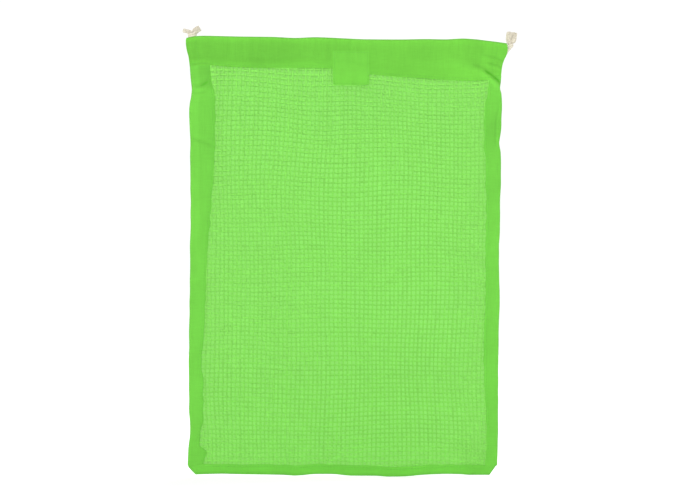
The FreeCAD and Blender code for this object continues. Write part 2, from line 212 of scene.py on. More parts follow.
# Creases: from (x, z), to (x, z), half width, depth, and how much painted shade darkens the
# valley; a weaker painted highlight lightens the ridge. The lit ridge lies on the left of the
# direction of travel, seen from the front.
CREASES = [
    ((-133.0, 394.2), (-149.0, 393.6), 1.3, 0.80, 0.13),
    ((-147.0, 371.6), (-133.0, 377.2), 2.2, 0.65, 0.110),
    ((-149, 367.4), (-136, 366.6), 1.6, 0.60, 0.11),
    ((-149.5, 324.0), (-130.5, 315.6), 2.0, 0.75, 0.08),
    ((-131, 316), (-122, 310.5), 2.4, 0.45, 0.03),
    ((134.5, 386.8), (122.5, 393.2), 2.6, 0.70, 0.13),
    ((148.2, 374.2), (132.6, 388.2), 2.4, 1.50, 0.33),
    ((132.0, 388.5), (100.0, 403.5), 4.2, 0.60, 0.045),
    ((149.5, 396.6), (132.0, 403.0), 1.9, 0.75, 0.125),
    ((149.0, 389.6), (135.0, 395.6), 1.7, 0.70, 0.120),
    ((126.0, 399.5), (121.0, 389.5), 3.4, 0.30, 0.035),
    ((145.6, 354), (141.6, 316), 1.2, 0.60, 0.085),
    ((139, 352), (143.5, 333), 2.2, 0.25, 0.0),
    ((-147.5, 246), (-137, 239), 2.6, 0.35, 0.02),
    ((-148, 181), (-139, 187), 2.6, 0.30, 0.02),
    ((-149, 118), (-141, 110), 2.4, 0.35, 0.03),
    ((143, 226), (134, 219), 2.6, 0.30, 0.02),
    ((143, 141), (134, 150), 2.6, 0.30, 0.02),
    ((142.5, 62), (134, 55), 2.4, 0.30, 0.02),
    ((-96, 398), (-52, 394), 3.0, 0.30, 0.02),
    ((60, 402), (104, 396), 3.2, 0.30, 0.02),
]


def crease_relief(x, z):
    """(how far forward, how much painted shade) the creases give each point of the front: shade in
    the valley, less a painted highlight on the ridge.
    """
    forward, dark = np.zeros(np.shape(x)), np.zeros(np.shape(x))
    for (x_from, z_from), (x_to, z_to), width, depth, shade in CREASES:
        length = math.hypot(x_to - x_from, z_to - z_from)
        run_x, run_z = (x_to - x_from) / length, (z_to - z_from) / length
        along = ((x - x_from) * run_x + (z - z_from) * run_z) / length
        bend = 0.8 * np.sin(along * 4.0)
        offset = (-(x - x_from) * run_z + (z - z_from) * run_x + bend) / width
        fade = smooth(-0.18, 0.22, along) * (1 - smooth(0.78, 1.2, along))
        ridge = hill(offset, 1.7, 1.3)
        forward = forward + fade * depth * (0.75 * ridge - hill(offset, 0, 1))
        # painted shade in the valley, less a painted highlight on the ridge
        dark = dark + fade * shade * (hill(offset, -0.1, 0.75) - 0.38 * ridge)
    return forward, dark


def side_distance(across):
    return np.clip(HALF - np.abs(across), 0, None)


def edge_distance(across, up):
    """Distance to the nearest side or bottom edge, rounded where two edges meet."""
    return -9.0 * np.log(np.exp(-side_distance(across) / 9.0) + decay(up, 9.0) + 1e-9)


def fullness(across, up):
    """0 at the sewn edges, 1 in the body of the bag."""
    distance = np.clip(edge_distance(across, up), 0, None)
    return 1 - np.exp(-((distance / 20.0) ** 1.35))


def edge_gap(up):
    """Half the gap between front and back at the side edge: closed below, open at the mouth."""
    return 1.25 + (abs(Y_FRONT_CASING - Y_MIDDLE) - 1.35) * smooth(338, SEAM - 6, up)


def pucker(across, up):
    """The short waves a sewn edge makes beside its seam."""
    which = np.sign(across)
    wave = 0.26 * np.sin(up * 0.43 + 1.3 * np.sin(up * 0.061 + which) + 2.1 * which)
    wave = wave + 0.22 * np.sin(up * 0.27 + 2.2 * np.sin(up * 0.043))
    side = wave * decay(side_distance(across), 15.0)
    bottom = np.sin(across * 0.36 + 1.7 * np.sin(across * 0.05)) * decay(up, 13.0)
    mouth = np.sin(across * 0.31 + 1.1 * np.sin(across * 0.07)) * decay(SEAM - up, 16.0)
    return side + 0.22 * bottom + 0.20 * mouth * (up <= SEAM + 2)


def gathers(across, up, seed):
    """Soft upright waves below the casing, left by the cords: they would bunch into pleats if the
    mouth were drawn."""
    wander = 1.9 * np.sin(across * 0.061 + seed) + 0.8 * np.sin(up * 0.021 + seed)
    wave = np.sin(across * 0.40 + wander)
    return 0.42 * wave * smooth(215, SEAM - 12, up) * smooth(12, 34, side_distance(across))


# ------------------------------------------------------------------ mesh helpers
# the attribute carries painted light and shade, with some random tone
SHADE = "cloth_painted_shading_and_tone"    # point attribute that lightens or darkens the cloth


def build(name, points, faces, tone=None, crisp=False):
    """A smooth closed object from points (n, 3) and a list of face index arrays, facing
    outward. crisp keeps the shading of cut edges and caps apart from the broad faces."""
    mesh = bpy.data.meshes.new(name)
    points = np.asarray(points, float) * MM
    mesh.vertices.add(len(points))
    mesh.vertices.foreach_set("co", points.astype(np.float32).ravel())
    totals = np.concatenate([np.full(len(group), group.shape[1]) for group in faces])
    corners = np.concatenate([group.ravel() for group in faces]).astype(np.int32)
    starts = np.concatenate([[0], np.cumsum(totals)[:-1]])
    mesh.loops.add(len(corners))
    mesh.loops.foreach_set("vertex_index", corners)
    mesh.polygons.add(len(starts))
    mesh.polygons.foreach_set("loop_start", starts.astype(np.int32))
    mesh.polygons.foreach_set("loop_total", totals.astype(np.int32))
    mesh.polygons.foreach_set("use_smooth", np.full(len(starts), True))
    mesh.update(calc_edges=True)
    mesh.validate()
    if tone is not None:
        layer = mesh.attributes.new(SHADE, "FLOAT", "POINT")
        layer.data.foreach_set("value", np.asarray(tone, np.float32))
    obj = bpy.data.objects.new(name, mesh)
    bpy.context.scene.collection.objects.link(obj)
    if crisp:
        mesh.set_sharp_from_angle(angle=math.radians(48.0))
    face_out(mesh)
    return obj


def mesh_points(mesh):
    flat = np.zeros(len(mesh.vertices) * 3)
    mesh.vertices.foreach_get("co", flat)
    return flat.reshape(-1, 3)


def face_out(mesh):
    """Flips a closed mesh whose signed volume is negative."""
    mesh.calc_loop_triangles()
    triangles = np.zeros(len(mesh.loop_triangles) * 3, np.int32)
    mesh.loop_triangles.foreach_get("vertices", triangles)
    first, second, third = mesh_points(mesh)[triangles.reshape(-1, 3).T]
    if np.einsum("ij,ij->i", first, np.cross(second, third)).sum() < 0:
        mesh.flip_normals()


def grid_faces(rows, cols, first=0, wrap=False):
    """Quads of a rows x cols grid of points; wrap joins the last column to the first."""
    steps = np.arange(cols if wrap else cols - 1)
    row, col = np.meshgrid(np.arange(rows - 1), steps, indexing="ij")
    here = first + row * cols + col
    beside = first + row * cols + (col + 1) % cols
    return np.stack([here, beside, beside + cols, here + cols], -1).reshape(-1, 4)


RING = 6    # points round a yarn or a stitch
RING_CAP = np.array([[0, 1, 2, 3], [0, 3, 4, 5]])


def thread_faces(rows, start_cap, first=0):
    """A closed six-sided tube; its far cap is wound against the start cap."""
    end_cap = (rows - 1) * RING + start_cap[:, ::-1]
    return np.concatenate([grid_faces(rows, RING, wrap=True), start_cap, end_cap]) + first


def loft(sections):
    """A closed solid through closed sections (count, points, 3), with both ends capped by
    strips between the two halves of the loop."""
    rows, cols = sections.shape[:2]
    i = np.arange(cols // 2 - 1)
    cap = np.stack([i, cols - 1 - i, cols - 2 - i, i + 1], -1)
    caps = np.concatenate([cap, (rows - 1) * cols + cap[:, ::-1]])
    return sections.reshape(-1, 3), [grid_faces(rows, cols, wrap=True), caps]


def two_layers(x, y, z, offset):
    """The points of a sheet: one layer moved by offset in y, then one moved back by it."""
    layers = [np.stack([x, y + shift, z], -1).reshape(-1, 3) for shift in (offset, -offset)]
    return np.concatenate(layers)


def two_layer_faces(rows, cols):
    """Faces of two facing grids joined round their rim."""
    count = rows * cols
    rim = np.concatenate([
        np.arange(cols), np.arange(1, rows) * cols + cols - 1,
        (rows - 1) * cols + np.arange(cols - 2, -1, -1), np.arange(rows - 2, 0, -1) * cols,
    ])
    after = np.roll(rim, -1)
    joined = np.stack([rim, rim + count, after + count, after], -1)
    return [grid_faces(rows, cols), grid_faces(rows, cols, count)[:, ::-1], joined]


def fold(steps, edge, bulge, y_start, y_end):
    """(distance, y) points round a half-turn, without its two ends."""
    middle, radius = (y_start + y_end) / 2, (y_end - y_start) / 2
    angles = -PI / 2 + PI * np.arange(1, steps) / steps
    return [(edge + bulge * np.cos(angle), middle + radius * np.sin(angle)) for angle in angles]


def thicken(points, thickness=0.5):
    """A closed loop round the open path of (distance, y) points, with thinner ends. Each
    point holds arrays, one entry per row. Returns distances and ys (rows, loop points)."""
    path = np.stack([np.stack(np.broadcast_arrays(*point), -1) for point in points], 1)
    run = np.gradient(path, axis=1)
    run = run / np.maximum(np.linalg.norm(run, axis=2, keepdims=True), 1e-9)
    normal = np.stack([-run[..., 1], run[..., 0]], -1)
    taper = np.ones(path.shape[1])
    taper[0] = taper[-1] = 0.45
    offset = normal * (thickness / 2 * taper[None, :, None])
    loop = np.concatenate([path + offset, (path - offset)[:, ::-1]], 1)
    return loop[..., 0], loop[..., 1]


# ------------------------------------------------------------------ cloth simulation
SIM_COLUMNS, SIM_ROWS, SIM_FRAMES = 61, 81, 36
CLOTH_SETTINGS = dict(
    quality=6, mass=0.15,
    tension_stiffness=12, compression_stiffness=8, shear_stiffness=4, bending_stiffness=0.05,
    tension_damping=6, compression_damping=6, shear_damping=4, bending_damping=0.5,
    air_damping=3, vertex_group_mass="hold", pin_stiffness=1,
    vertex_group_shrink="draw", shrink_min=0.0, shrink_max=0.035,
    use_pressure=True, uniform_pressure_force=0.25,
)


def drape():
    """Hangs a light two-layer pouch of the bag's size from its mouth, with its sewn edges
    drawn up a little shorter than the cloth, and lets it settle. Returns how far each layer
    has moved in y, on a grid, as (front, back)."""
    random = np.random.default_rng(91)
    across, up = np.meshgrid(np.linspace(-HALF, HALF, SIM_COLUMNS), np.linspace(0, SEAM, SIM_ROWS))
    near = np.minimum(HALF - np.abs(across), up)
    rise = np.maximum(1 - np.exp(-((near / 20.0) ** 1.35)), smooth(SEAM - 50, SEAM, up))
    depth = 0.4 + 4.4 * rise
    points, index, layers = [], {}, []
    for way in (-1, 1):
        grid = np.zeros((SIM_ROWS, SIM_COLUMNS), int)
        for j in range(SIM_ROWS):
            for i in range(SIM_COLUMNS):
                # the layers share their points along the sewn edges
                sewn = i in (0, SIM_COLUMNS - 1) or j == 0
                key = (0 if sewn else way, i, j)
                if key not in index:
                    index[key] = len(points)
                    y = Y_MIDDLE + way * (0 if sewn else depth[j, i])
                    points.append((across[j, i], y, up[j, i]))
                grid[j, i] = index[key]
        layers.append(grid)
    points = np.array(points)
    front, back = [grid.ravel()[grid_faces(SIM_ROWS, SIM_COLUMNS)] for grid in layers]
    start = points.copy()
    start[:, 1] += 0.15 * random.normal(size=len(points))
    mesh = bpy.data.meshes.new("drape")
    mesh.from_pydata((start * MM).tolist(), [], np.concatenate([front, back[:, ::-1]]).tolist())
    obj = bpy.data.objects.new("drape", mesh)
    bpy.context.scene.collection.objects.link(obj)
    hold = obj.vertex_groups.new(name="hold")
    hold.add([int(k) for grid in layers for k in grid[-2:].ravel()], 1.0, "REPLACE")
    draw = obj.vertex_groups.new(name="draw")
    for grid in layers:
        for j in range(SIM_ROWS):
            for i in range(SIM_COLUMNS):
                weight = math.exp(-near[j, i] / 5.0)
                if weight > 0.02:
                    draw.add([int(grid[j, i])], weight, "REPLACE")
    cloth = obj.modifiers.new("Cloth", "CLOTH")
    for setting, value in CLOTH_SETTINGS.items():
        setattr(cloth.settings, setting, value)
    cloth.settings.effector_weights.gravity = 0.15
    cloth.collision_settings.use_collision = False
    cloth.point_cache.frame_start, cloth.point_cache.frame_end = 1, SIM_FRAMES
    for frame in range(1, SIM_FRAMES + 1):
        bpy.context.scene.frame_set(frame)
    settled = obj.evaluated_get(bpy.context.evaluated_depsgraph_get())
    moved = mesh_points(settled.data)[:, 1] / MM - points[:, 1]
    bpy.data.objects.remove(obj, do_unlink=True)
    bpy.data.meshes.remove(mesh)
    bpy.context.scene.frame_set(1)
    moved = np.clip(np.nan_to_num(moved), -9, 9)
    return [moved[grid] for grid in layers]


SETTLED = drape()


def spline_weights(part):
    """Cubic B-spline weights of the four grid points about a place."""
    return (
        (1 - part) ** 3 / 6, (3 * part**3 - 6 * part**2 + 4) / 6,
        (-3 * part**3 + 3 * part**2 + 3 * part + 1) / 6, part**3 / 6,
    )


def draped(across, up):
    """What the simulation adds to (front, back) at a pattern point, smoothly between its
    grid points and scaled down to a bag that lies nearly flat."""
    across, up = np.broadcast_arrays(np.asarray(across, float), np.asarray(up, float))
    if SETTLED is None:
        return 0 * across, 0 * across
    col_at = np.clip((across + HALF) / (2 * HALF), 0, 1) * (SIM_COLUMNS - 1)
    row_at = np.clip(up / SEAM, 0, 1) * (SIM_ROWS - 1)
    i, j = np.floor(col_at).astype(int), np.floor(row_at).astype(int)
    layers = []
    for table in SETTLED:
        total = np.zeros(across.shape)
        for m, row_weight in enumerate(spline_weights(row_at - j)):
            row = np.clip(j + m - 1, 0, SIM_ROWS - 1)
            for n, col_weight in enumerate(spline_weights(col_at - i)):
                col = np.clip(i + n - 1, 0, SIM_COLUMNS - 1)
                total = total + row_weight * col_weight * table[row, col]
        layers.append(total)
    fade = 1 - smooth(SEAM - 16, SEAM - 3, up)

    def calm(value):
        return 1.7 * np.tanh(0.32 * value / 1.7) * fade

    both = calm((layers[0] + layers[1]) / 2)
    apart = calm((layers[0] - layers[1]) / 2) * fullness(across, up)
    return both + apart, both - apart


def front_y(across, up):
    """The middle of the front cloth."""
    full, gap = fullness(across, up), edge_gap(up)
    y = Y_MIDDLE - gap - (Y_MIDDLE - Y_NET - gap) * full
    waves = 0.45 * BROAD(across, up) + 0.30 * MIDDLE(across, up)
    y = y - waves * (0.25 + 0.75 * full) * (1 - 0.6 * smooth(SEAM - 30, SEAM, up))
    y = y - pucker(across, up) * 0.8 - crease_relief(*place(across, up))[0] * 0.9
    return y + draped(across, up)[0] + gathers(across, up, 0.4)


def back_y(across, up):
    """The middle of the back cloth."""
    full, gap = fullness(across, up), edge_gap(up)
    y = Y_MIDDLE + gap + (Y_BACK - Y_MIDDLE - gap) * full
    y = y - (0.30 + 0.26 * BACK_BROAD(across, up) + 0.22 * BACK_MIDDLE(across, up)) * full
    y = y + pucker(-across, up + 37) * 0.45
    return y + draped(across, up)[1] + gathers(across, up, 2.6)


# ------------------------------------------------------------------ draw-in weights, and finishing pieces
GATHER_LOW, GATHER_HIGH = 70.0, 372.0
# the two halves of each layer meet up to this far off the middle, and stay together there
STILL_MIDDLE = 3.0


def gather(obj, side):
    """Bakes obj's placement into its mesh and works out how strongly each point is to be drawn in
    with the casing end on its side: fully at the casing's end, not at all at the middle of the bag
    or near its bottom. The weights are not put to use."""
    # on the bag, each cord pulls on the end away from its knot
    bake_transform(obj)
    points = mesh_points(obj.data) / MM
    outward = np.maximum(points[:, 0] * side, 0)
    weight = np.clip((outward - STILL_MIDDLE) / (CASING_END - STILL_MIDDLE), 0, 1)
    weight = weight * smooth(GATHER_LOW, GATHER_HIGH, points[:, 2])


def finish_piece(obj, material, slot_name, *replaced):
    obj.data.materials.append(material)
    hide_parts(*replaced)


# ------------------------------------------------------------------ materials
def srgb(red, green, blue, gain=1.0):
    """Linear colour of 0-255 screen values, times gain."""
    linear = []
    for value in (red / 255, green / 255, blue / 255):
        value = value / 12.92 if value <= 0.04045 else ((value + 0.055) / 1.055) ** 2.4
        linear.append(min(1.0, gain * value))
    return (*linear, 1.0)


class Shader:
    """Adds nodes to a tree. Inputs are keyed by name or index: a socket, or a node's first
    output, is linked, and anything else is set as the value."""

    def __init__(self, tree):
        self.tree = tree

    def link(self, value, socket):
        if isinstance(value, bpy.types.Node):
            value = value.outputs[0]
        self.tree.links.new(value, socket)

    def node(self, kind, inputs=None, **settings):
        node = self.tree.nodes.new("ShaderNode" + kind)
        for name, value in settings.items():
            setattr(node, name, value)
        for key, value in (inputs or {}).items():
            if isinstance(value, (bpy.types.Node, bpy.types.NodeSocket)):
                self.link(value, node.inputs[key])
            else:
                node.inputs[key].default_value = value
        return node

    def math(self, operation, *inputs):
        return self.node("Math", dict(enumerate(inputs)), operation=operation)

    def remap(self, value, source, target):
        """Maps the source range to the target range."""
        return self.node("MapRange", {
            "From Min": source[0], "From Max": source[1],
            "To Min": target[0], "To Max": target[1], "Value": value,
        })


def empty_material(name):
    material = bpy.data.materials.new(name)
    material.use_nodes = True
    material.node_tree.nodes.clear()
    return material, Shader(material.node_tree)


def cloth_material(name, colour, gain, translucent, thread=0.42, weave=0.35, slub=0.05,
                   glow=0.0, uneven=0.025):
    """Plain-woven cotton: crossed threads, slubs along both, a little fuzz, painted light and
    shade from the folds and broad zones, painted shade where the weave dips, light coming through,
    and a painted glow where asked. thread is the pitch of the threads, weave the strength of their
    bump, slub and uneven how far the tone varies along threads and in patches."""
    material, shader = empty_material(name)
    coord = shader.node("TexCoord").outputs["Object"]
    split = shader.node("SeparateXYZ", {0: coord})

    def wave(axis, length):
        scaled = shader.math("MULTIPLY", split.outputs[axis], 2 * PI / (length * MM))
        return shader.math("SINE", scaled)

    # over-and-under: the product of the two waves swaps which thread is on top
    product = shader.math("MULTIPLY", wave(0, thread * 2), wave(2, thread * 2))
    ribs = shader.math("ADD", wave(0, thread), wave(2, thread))
    woven = shader.math("MULTIPLY_ADD", product, 0.6, ribs)

    def streak(scale, seed):
        location = (seed, seed * 0.7, seed * 0.3)
        mapping = shader.node("Mapping", {"Scale": scale, "Location": location, 0: coord})
        return shader.node("TexNoise", {"Scale": 1.0, "Detail": 2.0, "Vector": mapping})

    along_x = streak(scale=(95, 300, 1500), seed=3.1)
    along_z = streak(scale=(1500, 300, 80), seed=9.7)
    patch = streak(scale=(22, 40, 22), seed=5.2)
    slubs = shader.math("ADD", along_x, along_z)
    tone = shader.remap(slubs, source=(0.7, 1.3), target=(1 - slub, 1 + slub))
    dye = shader.remap(patch, source=(0.3, 0.7), target=(1 - uneven, 1 + uneven))
    # painted light and shade from the point attribute: folds, creases and broad paler and darker
    # zones, with some random tone
    painted_shading_and_tone = shader.node("Attribute", attribute_name=SHADE).outputs["Fac"]
    # painted shade: darker where the weave dips
    dip = shader.remap(woven, source=(-2.2, 2.2), target=(0.90, 1.06))
    brightness = tone
    for part in (dye, painted_shading_and_tone, dip):
        brightness = shader.math("MULTIPLY", brightness, part)
    base = shader.node("RGB")
    base.outputs[0].default_value = srgb(*colour, gain=gain)
    # deep in a fold the light has bounced off the cloth more than once: darker, but greener
    deep = shader.remap(painted_shading_and_tone, source=(0.88, 0.60), target=(1.0, 2.1))
    spill = shader.remap(painted_shading_and_tone, source=(0.88, 0.60), target=(1.0, 1.6))
    brightness = shader.math("MULTIPLY", brightness, spill)
    rich = shader.node("Gamma", {"Color": base, "Gamma": deep})
    tint = shader.node("VectorMath", {0: rich, "Scale": brightness}, operation="SCALE")
    height = shader.math("MULTIPLY_ADD", woven, 0.25, slubs)
    bump = shader.node("Bump", {"Strength": weave, "Distance": 0.00016, "Height": height})
    cotton = shader.node("BsdfPrincipled", {
        "Roughness": 0.93, "Specular IOR Level": 0.12,
        "Sheen Weight": 0.12, "Sheen Roughness": 0.6, "Sheen Tint": srgb(190, 240, 150),
        "Base Color": tint, "Normal": bump,
    })
    if glow:
        # painted glow: emission stands in for the little light that thin cloth passes on from all
        # round
        shader.link(tint, cotton.inputs["Emission Color"])
        cotton.inputs["Emission Strength"].default_value = glow
    through = shader.node("BsdfTranslucent", {"Color": tint, "Normal": bump})
    mix = shader.node("MixShader", {0: translucent, 1: cotton, 2: through})
    shader.node("OutputMaterial", {0: mix})
    return material


def thread_material(name, colour, pitch, gain):
    """Twisted thread or cord: fine fibres, of about one pitch, over the strands' own shape."""
    material, shader = empty_material(name)
    coord = shader.node("TexCoord").outputs["Object"]
    fibre = shader.node("TexNoise", {
        "Scale": 1 / (pitch * MM), "Detail": 4.0, "Distortion": 1.2, "Vector": coord,
    })
    spots = shader.node("TexNoise", {"Scale": 260, "Detail": 2.0, "Vector": coord})
    ramp = shader.node("ValToRGB", {0: fibre})
    dark, light = ramp.color_ramp.elements
    dark.position, light.position = 0.25, 0.72
    dark.color = srgb(*[value * 0.88 for value in colour], gain=gain)
    light.color = srgb(*[min(255, value * 1.05) for value in colour], gain=gain)
    speck = shader.remap(spots, source=(0.3, 0.7), target=(0.93, 1.05))
    tint = shader.node("VectorMath", {0: ramp, "Scale": speck}, operation="SCALE")
    bump = shader.node("Bump", {"Strength": 0.4, "Distance": 0.00012, "Height": fibre})
    cotton = shader.node("BsdfPrincipled", {
        "Roughness": 0.9, "Specular IOR Level": 0.15, "Sheen Weight": 0.15,
        "Base Color": tint, "Normal": bump,
    })
    shader.node("OutputMaterial", {0: cotton})
    return material


# All pieces are one green cotton. The net and the inside of the back panel get paler copies of it:
# painted light, standing in for the light that comes through the thin cloth.
BAND_CLOTH = cloth_material("band_cloth", (121, 215, 76), gain=0.785, translucent=0.12)
CASING_CLOTH = cloth_material("casing_cloth", (121, 214, 72), gain=0.73, translucent=0.08)
LABEL_CLOTH = cloth_material(
    "label_cloth", (125, 221, 76), gain=0.725, translucent=0.06, slub=0.03)
INSIDE_CLOTH_PAINTED_LIGHT = cloth_material(
    "back_cloth", (151, 226, 112), gain=0.95, translucent=0.12, glow=0.12, uneven=0.010)
OUTSIDE_CLOTH = cloth_material(
    "back_cloth_outside", (123, 216, 79), gain=0.80, translucent=0.16)
NET_CLOTH = cloth_material(
    "net_cloth", (140, 224, 96), gain=1.0, translucent=0.18, thread=0.5, slub=0.08,
    weave=0.5, uneven=0.008)
THREAD = thread_material("thread", (112, 206, 68), pitch=0.25, gain=0.76)
CORD = thread_material("cord", (233, 226, 207), pitch=0.35, gain=0.885)


# ------------------------------------------------------------------ net
PITCH_X, PITCH_Z = 4.13, 4.41
NET_HALF, NET_LOW, NET_HIGH = 146.0, 4.0, SEAM + 3.0
YARN_STEPS = 4          # points along a yarn per mesh of the net
CORNER_CUT = 7.2        # how far in from the side the bottom corners are cut


def corner_low(across):
    """Lowest height of the cloth: the bottom corners are cut."""
    rise = np.where(np.asarray(across) < 0, 7.8, 9.8)
    return np.clip((np.abs(across) - (HALF - CORNER_CUT)) * rise / CORNER_CUT, 0, None)


def net_light(across, up):
    """The slow changes of painted light and shade over the net."""
    left = smooth(-10, -60, across)
    light = 0.974 - 0.006 * (1 - smooth(120, 330, up))
    # painted light: brighter towards the casing
    light = light + 0.035 * smooth(335, 378, up) + 0.014 * smooth(370, 382, up)
    light = light + 0.018 * smooth(374, 384, up)
    # painted light: brighter towards the bottom, most on the left, but a little less at the very
    # bottom left
    light = light + 0.012 * smooth(110, 60, up) + (0.015 + 0.008 * left) * smooth(95, 48, up)
    return light + 0.04 * smooth(34, 14, up) - 0.015 * smooth(32, 18, up) * smooth(20, -20, across)


def yarn_set(name, upright, side):
    """All the yarns of one direction on one side of the middle, woven over and under."""
    angle = np.arange(RING) / RING * 2 * PI + PI / 6
    columns = int(round(2 * NET_HALF / PITCH_X))
    rows = int(round((NET_HIGH - NET_LOW) / PITCH_Z))
    random = np.random.default_rng(77 if upright else 78)
    if upright:
        lines = [k for k in range(-columns, columns + 1) if abs((k + 0.5) * PITCH_X) < NET_HALF]
        run = np.arange(rows * YARN_STEPS + 1) / YARN_STEPS * PITCH_Z + NET_LOW
    else:
        lines = range(rows + 1)
        run = np.arange(int(NET_HALF / PITCH_X * YARN_STEPS) + 1) / YARN_STEPS * PITCH_X * side
    points, faces, tones, ends, base = [], [], [], [], 0
    for k in lines:
        width = 0.98 + 0.075 * random.standard_normal()
        shift = 0.10 * random.standard_normal()
        yarn_tone = 1 + 0.014 * random.standard_normal()
        # the straight line of the yarn, and where it passes over and under
        if upright:
            at = (k + 0.5) * PITCH_X
            if at * side < 0:
                continue
            line_up = run[run >= corner_low(at) + 1.5]
            line_across = np.full(len(line_up), at)
            phase = line_up / PITCH_Z * PI + k * PI - NET_LOW / PITCH_Z * PI
            lift = 0.27 * np.cos(phase)
        else:
            at = NET_LOW + k * PITCH_Z
            # the lowest ones stop short of the cut corners
            reach = HALF - CORNER_CUT + CORNER_CUT / 9.8 * (at - 2.5)
            line_across = run[np.abs(run) <= reach]
            line_up = np.full(len(line_across), at)
            phase = (line_across / PITCH_X - 0.5) * PI + k * PI
            lift = -0.27 * np.cos(phase)
        count = len(line_up)
        move_x = 0.13 * WANDER_X(line_across, line_up * 0.55) + 0.7 * SLOW_X(line_across, line_up)
        move_z = 0.14 * WANDER_Z(line_across * 0.55, line_up) + 1.1 * SLOW_Z(line_across, line_up)
        if upright:
            move_x = move_x + shift
        else:
            move_z = move_z + shift
            # hold the middle line still so that the two halves meet
            move_x = move_x * (1 - hill(line_across, 0, 6.0))
        # the net is drawn together beside the margins, just under the casing, and at the
        # bottom corners
        close_left = smooth(-122.5, -127.5, line_across) * smooth(350, 359, line_up)
        close_right = smooth(119, 127, line_across) * smooth(346, 360, line_up)
        low_right = smooth(112, 124, line_across + 0.3 * line_up) * smooth(40, 22, line_up)
        low_left = smooth(-124, -131, line_across) * smooth(34, 22, line_up)
        uneven = 0.07 * np.cos(2 * phase) + 0.13 * FINE(line_across + 3.1 * k, line_up)
        closing = 0.45 * close_left + 0.30 * close_right + 0.35 * low_right + 0.25 * low_left
        width = width * (1 + uneven) * (1 + closing)
        thickness = 0.24 + 0.03 * np.cos(2 * phase)
        spread = width[:, None] * np.cos(angle)[None, :]
        across = (line_across + move_x)[:, None] + (spread if upright else 0 * spread)
        up = (line_up + move_z)[:, None] + (0 * spread if upright else spread)
        y = front_y(across, up) - lift[:, None] + thickness[:, None] * np.sin(angle)[None, :]
        x, z = place(across, up)
        points.append(np.stack([x, y, z], -1).reshape(-1, 3))
        faces.append(thread_faces(count, RING_CAP, base))
        # painted light: the net's slow painted light and shade, paler where it is drawn together
        # on the left, darker at the bottom right corner
        light = net_light(line_across, line_up) + 0.030 * close_left - 0.06 * low_right
        # painted shade: two yarns thick at a crossing, so less light comes through there; between
        # crossings the cross yarns are painted lighter
        crossing = np.cos(phase) ** 2
        weave = (0.006 if upright else 0.042) * (1 - crossing) - 0.055 * crossing
        # painted shade where a yarn passes under the other, and the creases' painted shade
        weave = weave - 0.03 * (lift < 0)
        tone = (yarn_tone * light + weave)[:, None] - crease_relief(x, z)[1]
        tones.append(tone.ravel())
        at_end = np.zeros((count, RING), np.int32)
        at_end[0], at_end[-1] = 2 * base + 1, 2 * base + 2
        ends.append(at_end.ravel())
        base += count * RING
    obj = build(name, np.concatenate(points), faces, np.concatenate(tones))
    # the cut ends are flat, so that the two halves of the net meet without a shadow
    edges = np.zeros(len(obj.data.edges) * 2, np.int32)
    obj.data.edges.foreach_get("vertices", edges)
    first, second = np.concatenate(ends)[edges.reshape(-1, 2).T]
    flag = obj.data.attributes.get("sharp_edge")
    flag = flag or obj.data.attributes.new("sharp_edge", "BOOLEAN", "EDGE")
    flag.data.foreach_set("value", (first > 0) & (first == second))
    finish_piece(obj, NET_CLOTH, "net_cloth", "front_mesh_panel")
    gather(obj, side)


for side, word in SIDES.items():
    yarn_set(f"net_upright_yarns_{word}", True, side)
    yarn_set(f"net_cross_yarns_{word}", False, side)


# ------------------------------------------------------------------ back panel
PANEL_HALF_THICKNESS = 0.22


def back_panel(side):
    columns, rows, height = 76, 200, SEAM + 3
    line = HALF * np.linspace(0, 1, columns) * side
    across, up = np.meshgrid(line, np.linspace(0, height, rows))
    low = corner_low(across)
    up = low + up * (height - low) / height
    x, z = place(across, up)
    points = two_layers(x, back_y(across, up), z, PANEL_HALF_THICKNESS)
    faces = two_layer_faces(rows, columns)
    # painted shade near the sewn edges; the inside, seen through the net, is painted darker over
    # its lower part and lighter again towards the bottom, most on the left
    tone = 1 - 0.05 * decay(edge_distance(across, up), 5.0)
    outer = tone + 0.015 * BACK_MIDDLE(across, up)
    left = smooth(-10, -60, across)
    inner = tone - 0.035 * (1 - smooth(120, 330, up))
    inner = inner + (0.024 + 0.009 * left) * smooth(98, 45, up)
    tones = np.concatenate([outer.ravel(), inner.ravel()])
    obj = build(f"back_panel_{SIDES[side]}", points, faces, tones, crisp=True)
    finish_piece(obj, INSIDE_CLOTH_PAINTED_LIGHT, "back_cloth", "back_panel")
    # the inside gets a paler copy of the cloth with a painted glow, standing in for the light that
    # comes through; the outside, seen against the room, gets the plain one
    obj.data.materials.append(OUTSIDE_CLOTH)
    which = np.ones(len(obj.data.polygons), np.int32)
    which[len(faces[0]):len(faces[0]) + len(faces[1])] = 0
    obj.data.polygons.foreach_set("material_index", which)
    gather(obj, side)


for side in SIDES:
    back_panel(side)


# ------------------------------------------------------------------ side bands
# The inner border of each side's band: (height, x).
BAND_BORDERS = {
    -1: [
        (0, -137.6), (10, -137.3), (14, -136.0), (18, -134.3), (21.8, -133.5), (24.6, -136.4),
        (28.2, -140.8), (36, -141.6), (55, -137.7), (90, -137.3), (109, -139.6), (128, -137.5),
        (148, -136.6), (170, -136.0), (200, -134.9), (225, -133.4), (244, -131.9),
        (263, -130.2), (282, -128.3), (300, -127.3), (330, -126.4), (352, -126.6),
        (362, -128.6), (370, -131.0), (390, -131.6),
    ],
    1: [
        (0, 133.5), (40, 134.6), (60, 134.0), (91, 132.4), (129, 131.9), (160, 132.9),
        (190, 133.4), (225, 133.6), (260, 133.8), (283, 132.6), (300, 132.7), (335, 131.8),
        (350, 131.6), (358, 132.2), (368, 135.0), (376, 136.8), (390, 137.0),
    ],
}
CLOTH_HALF = 0.25           # half the thickness of folded cloth
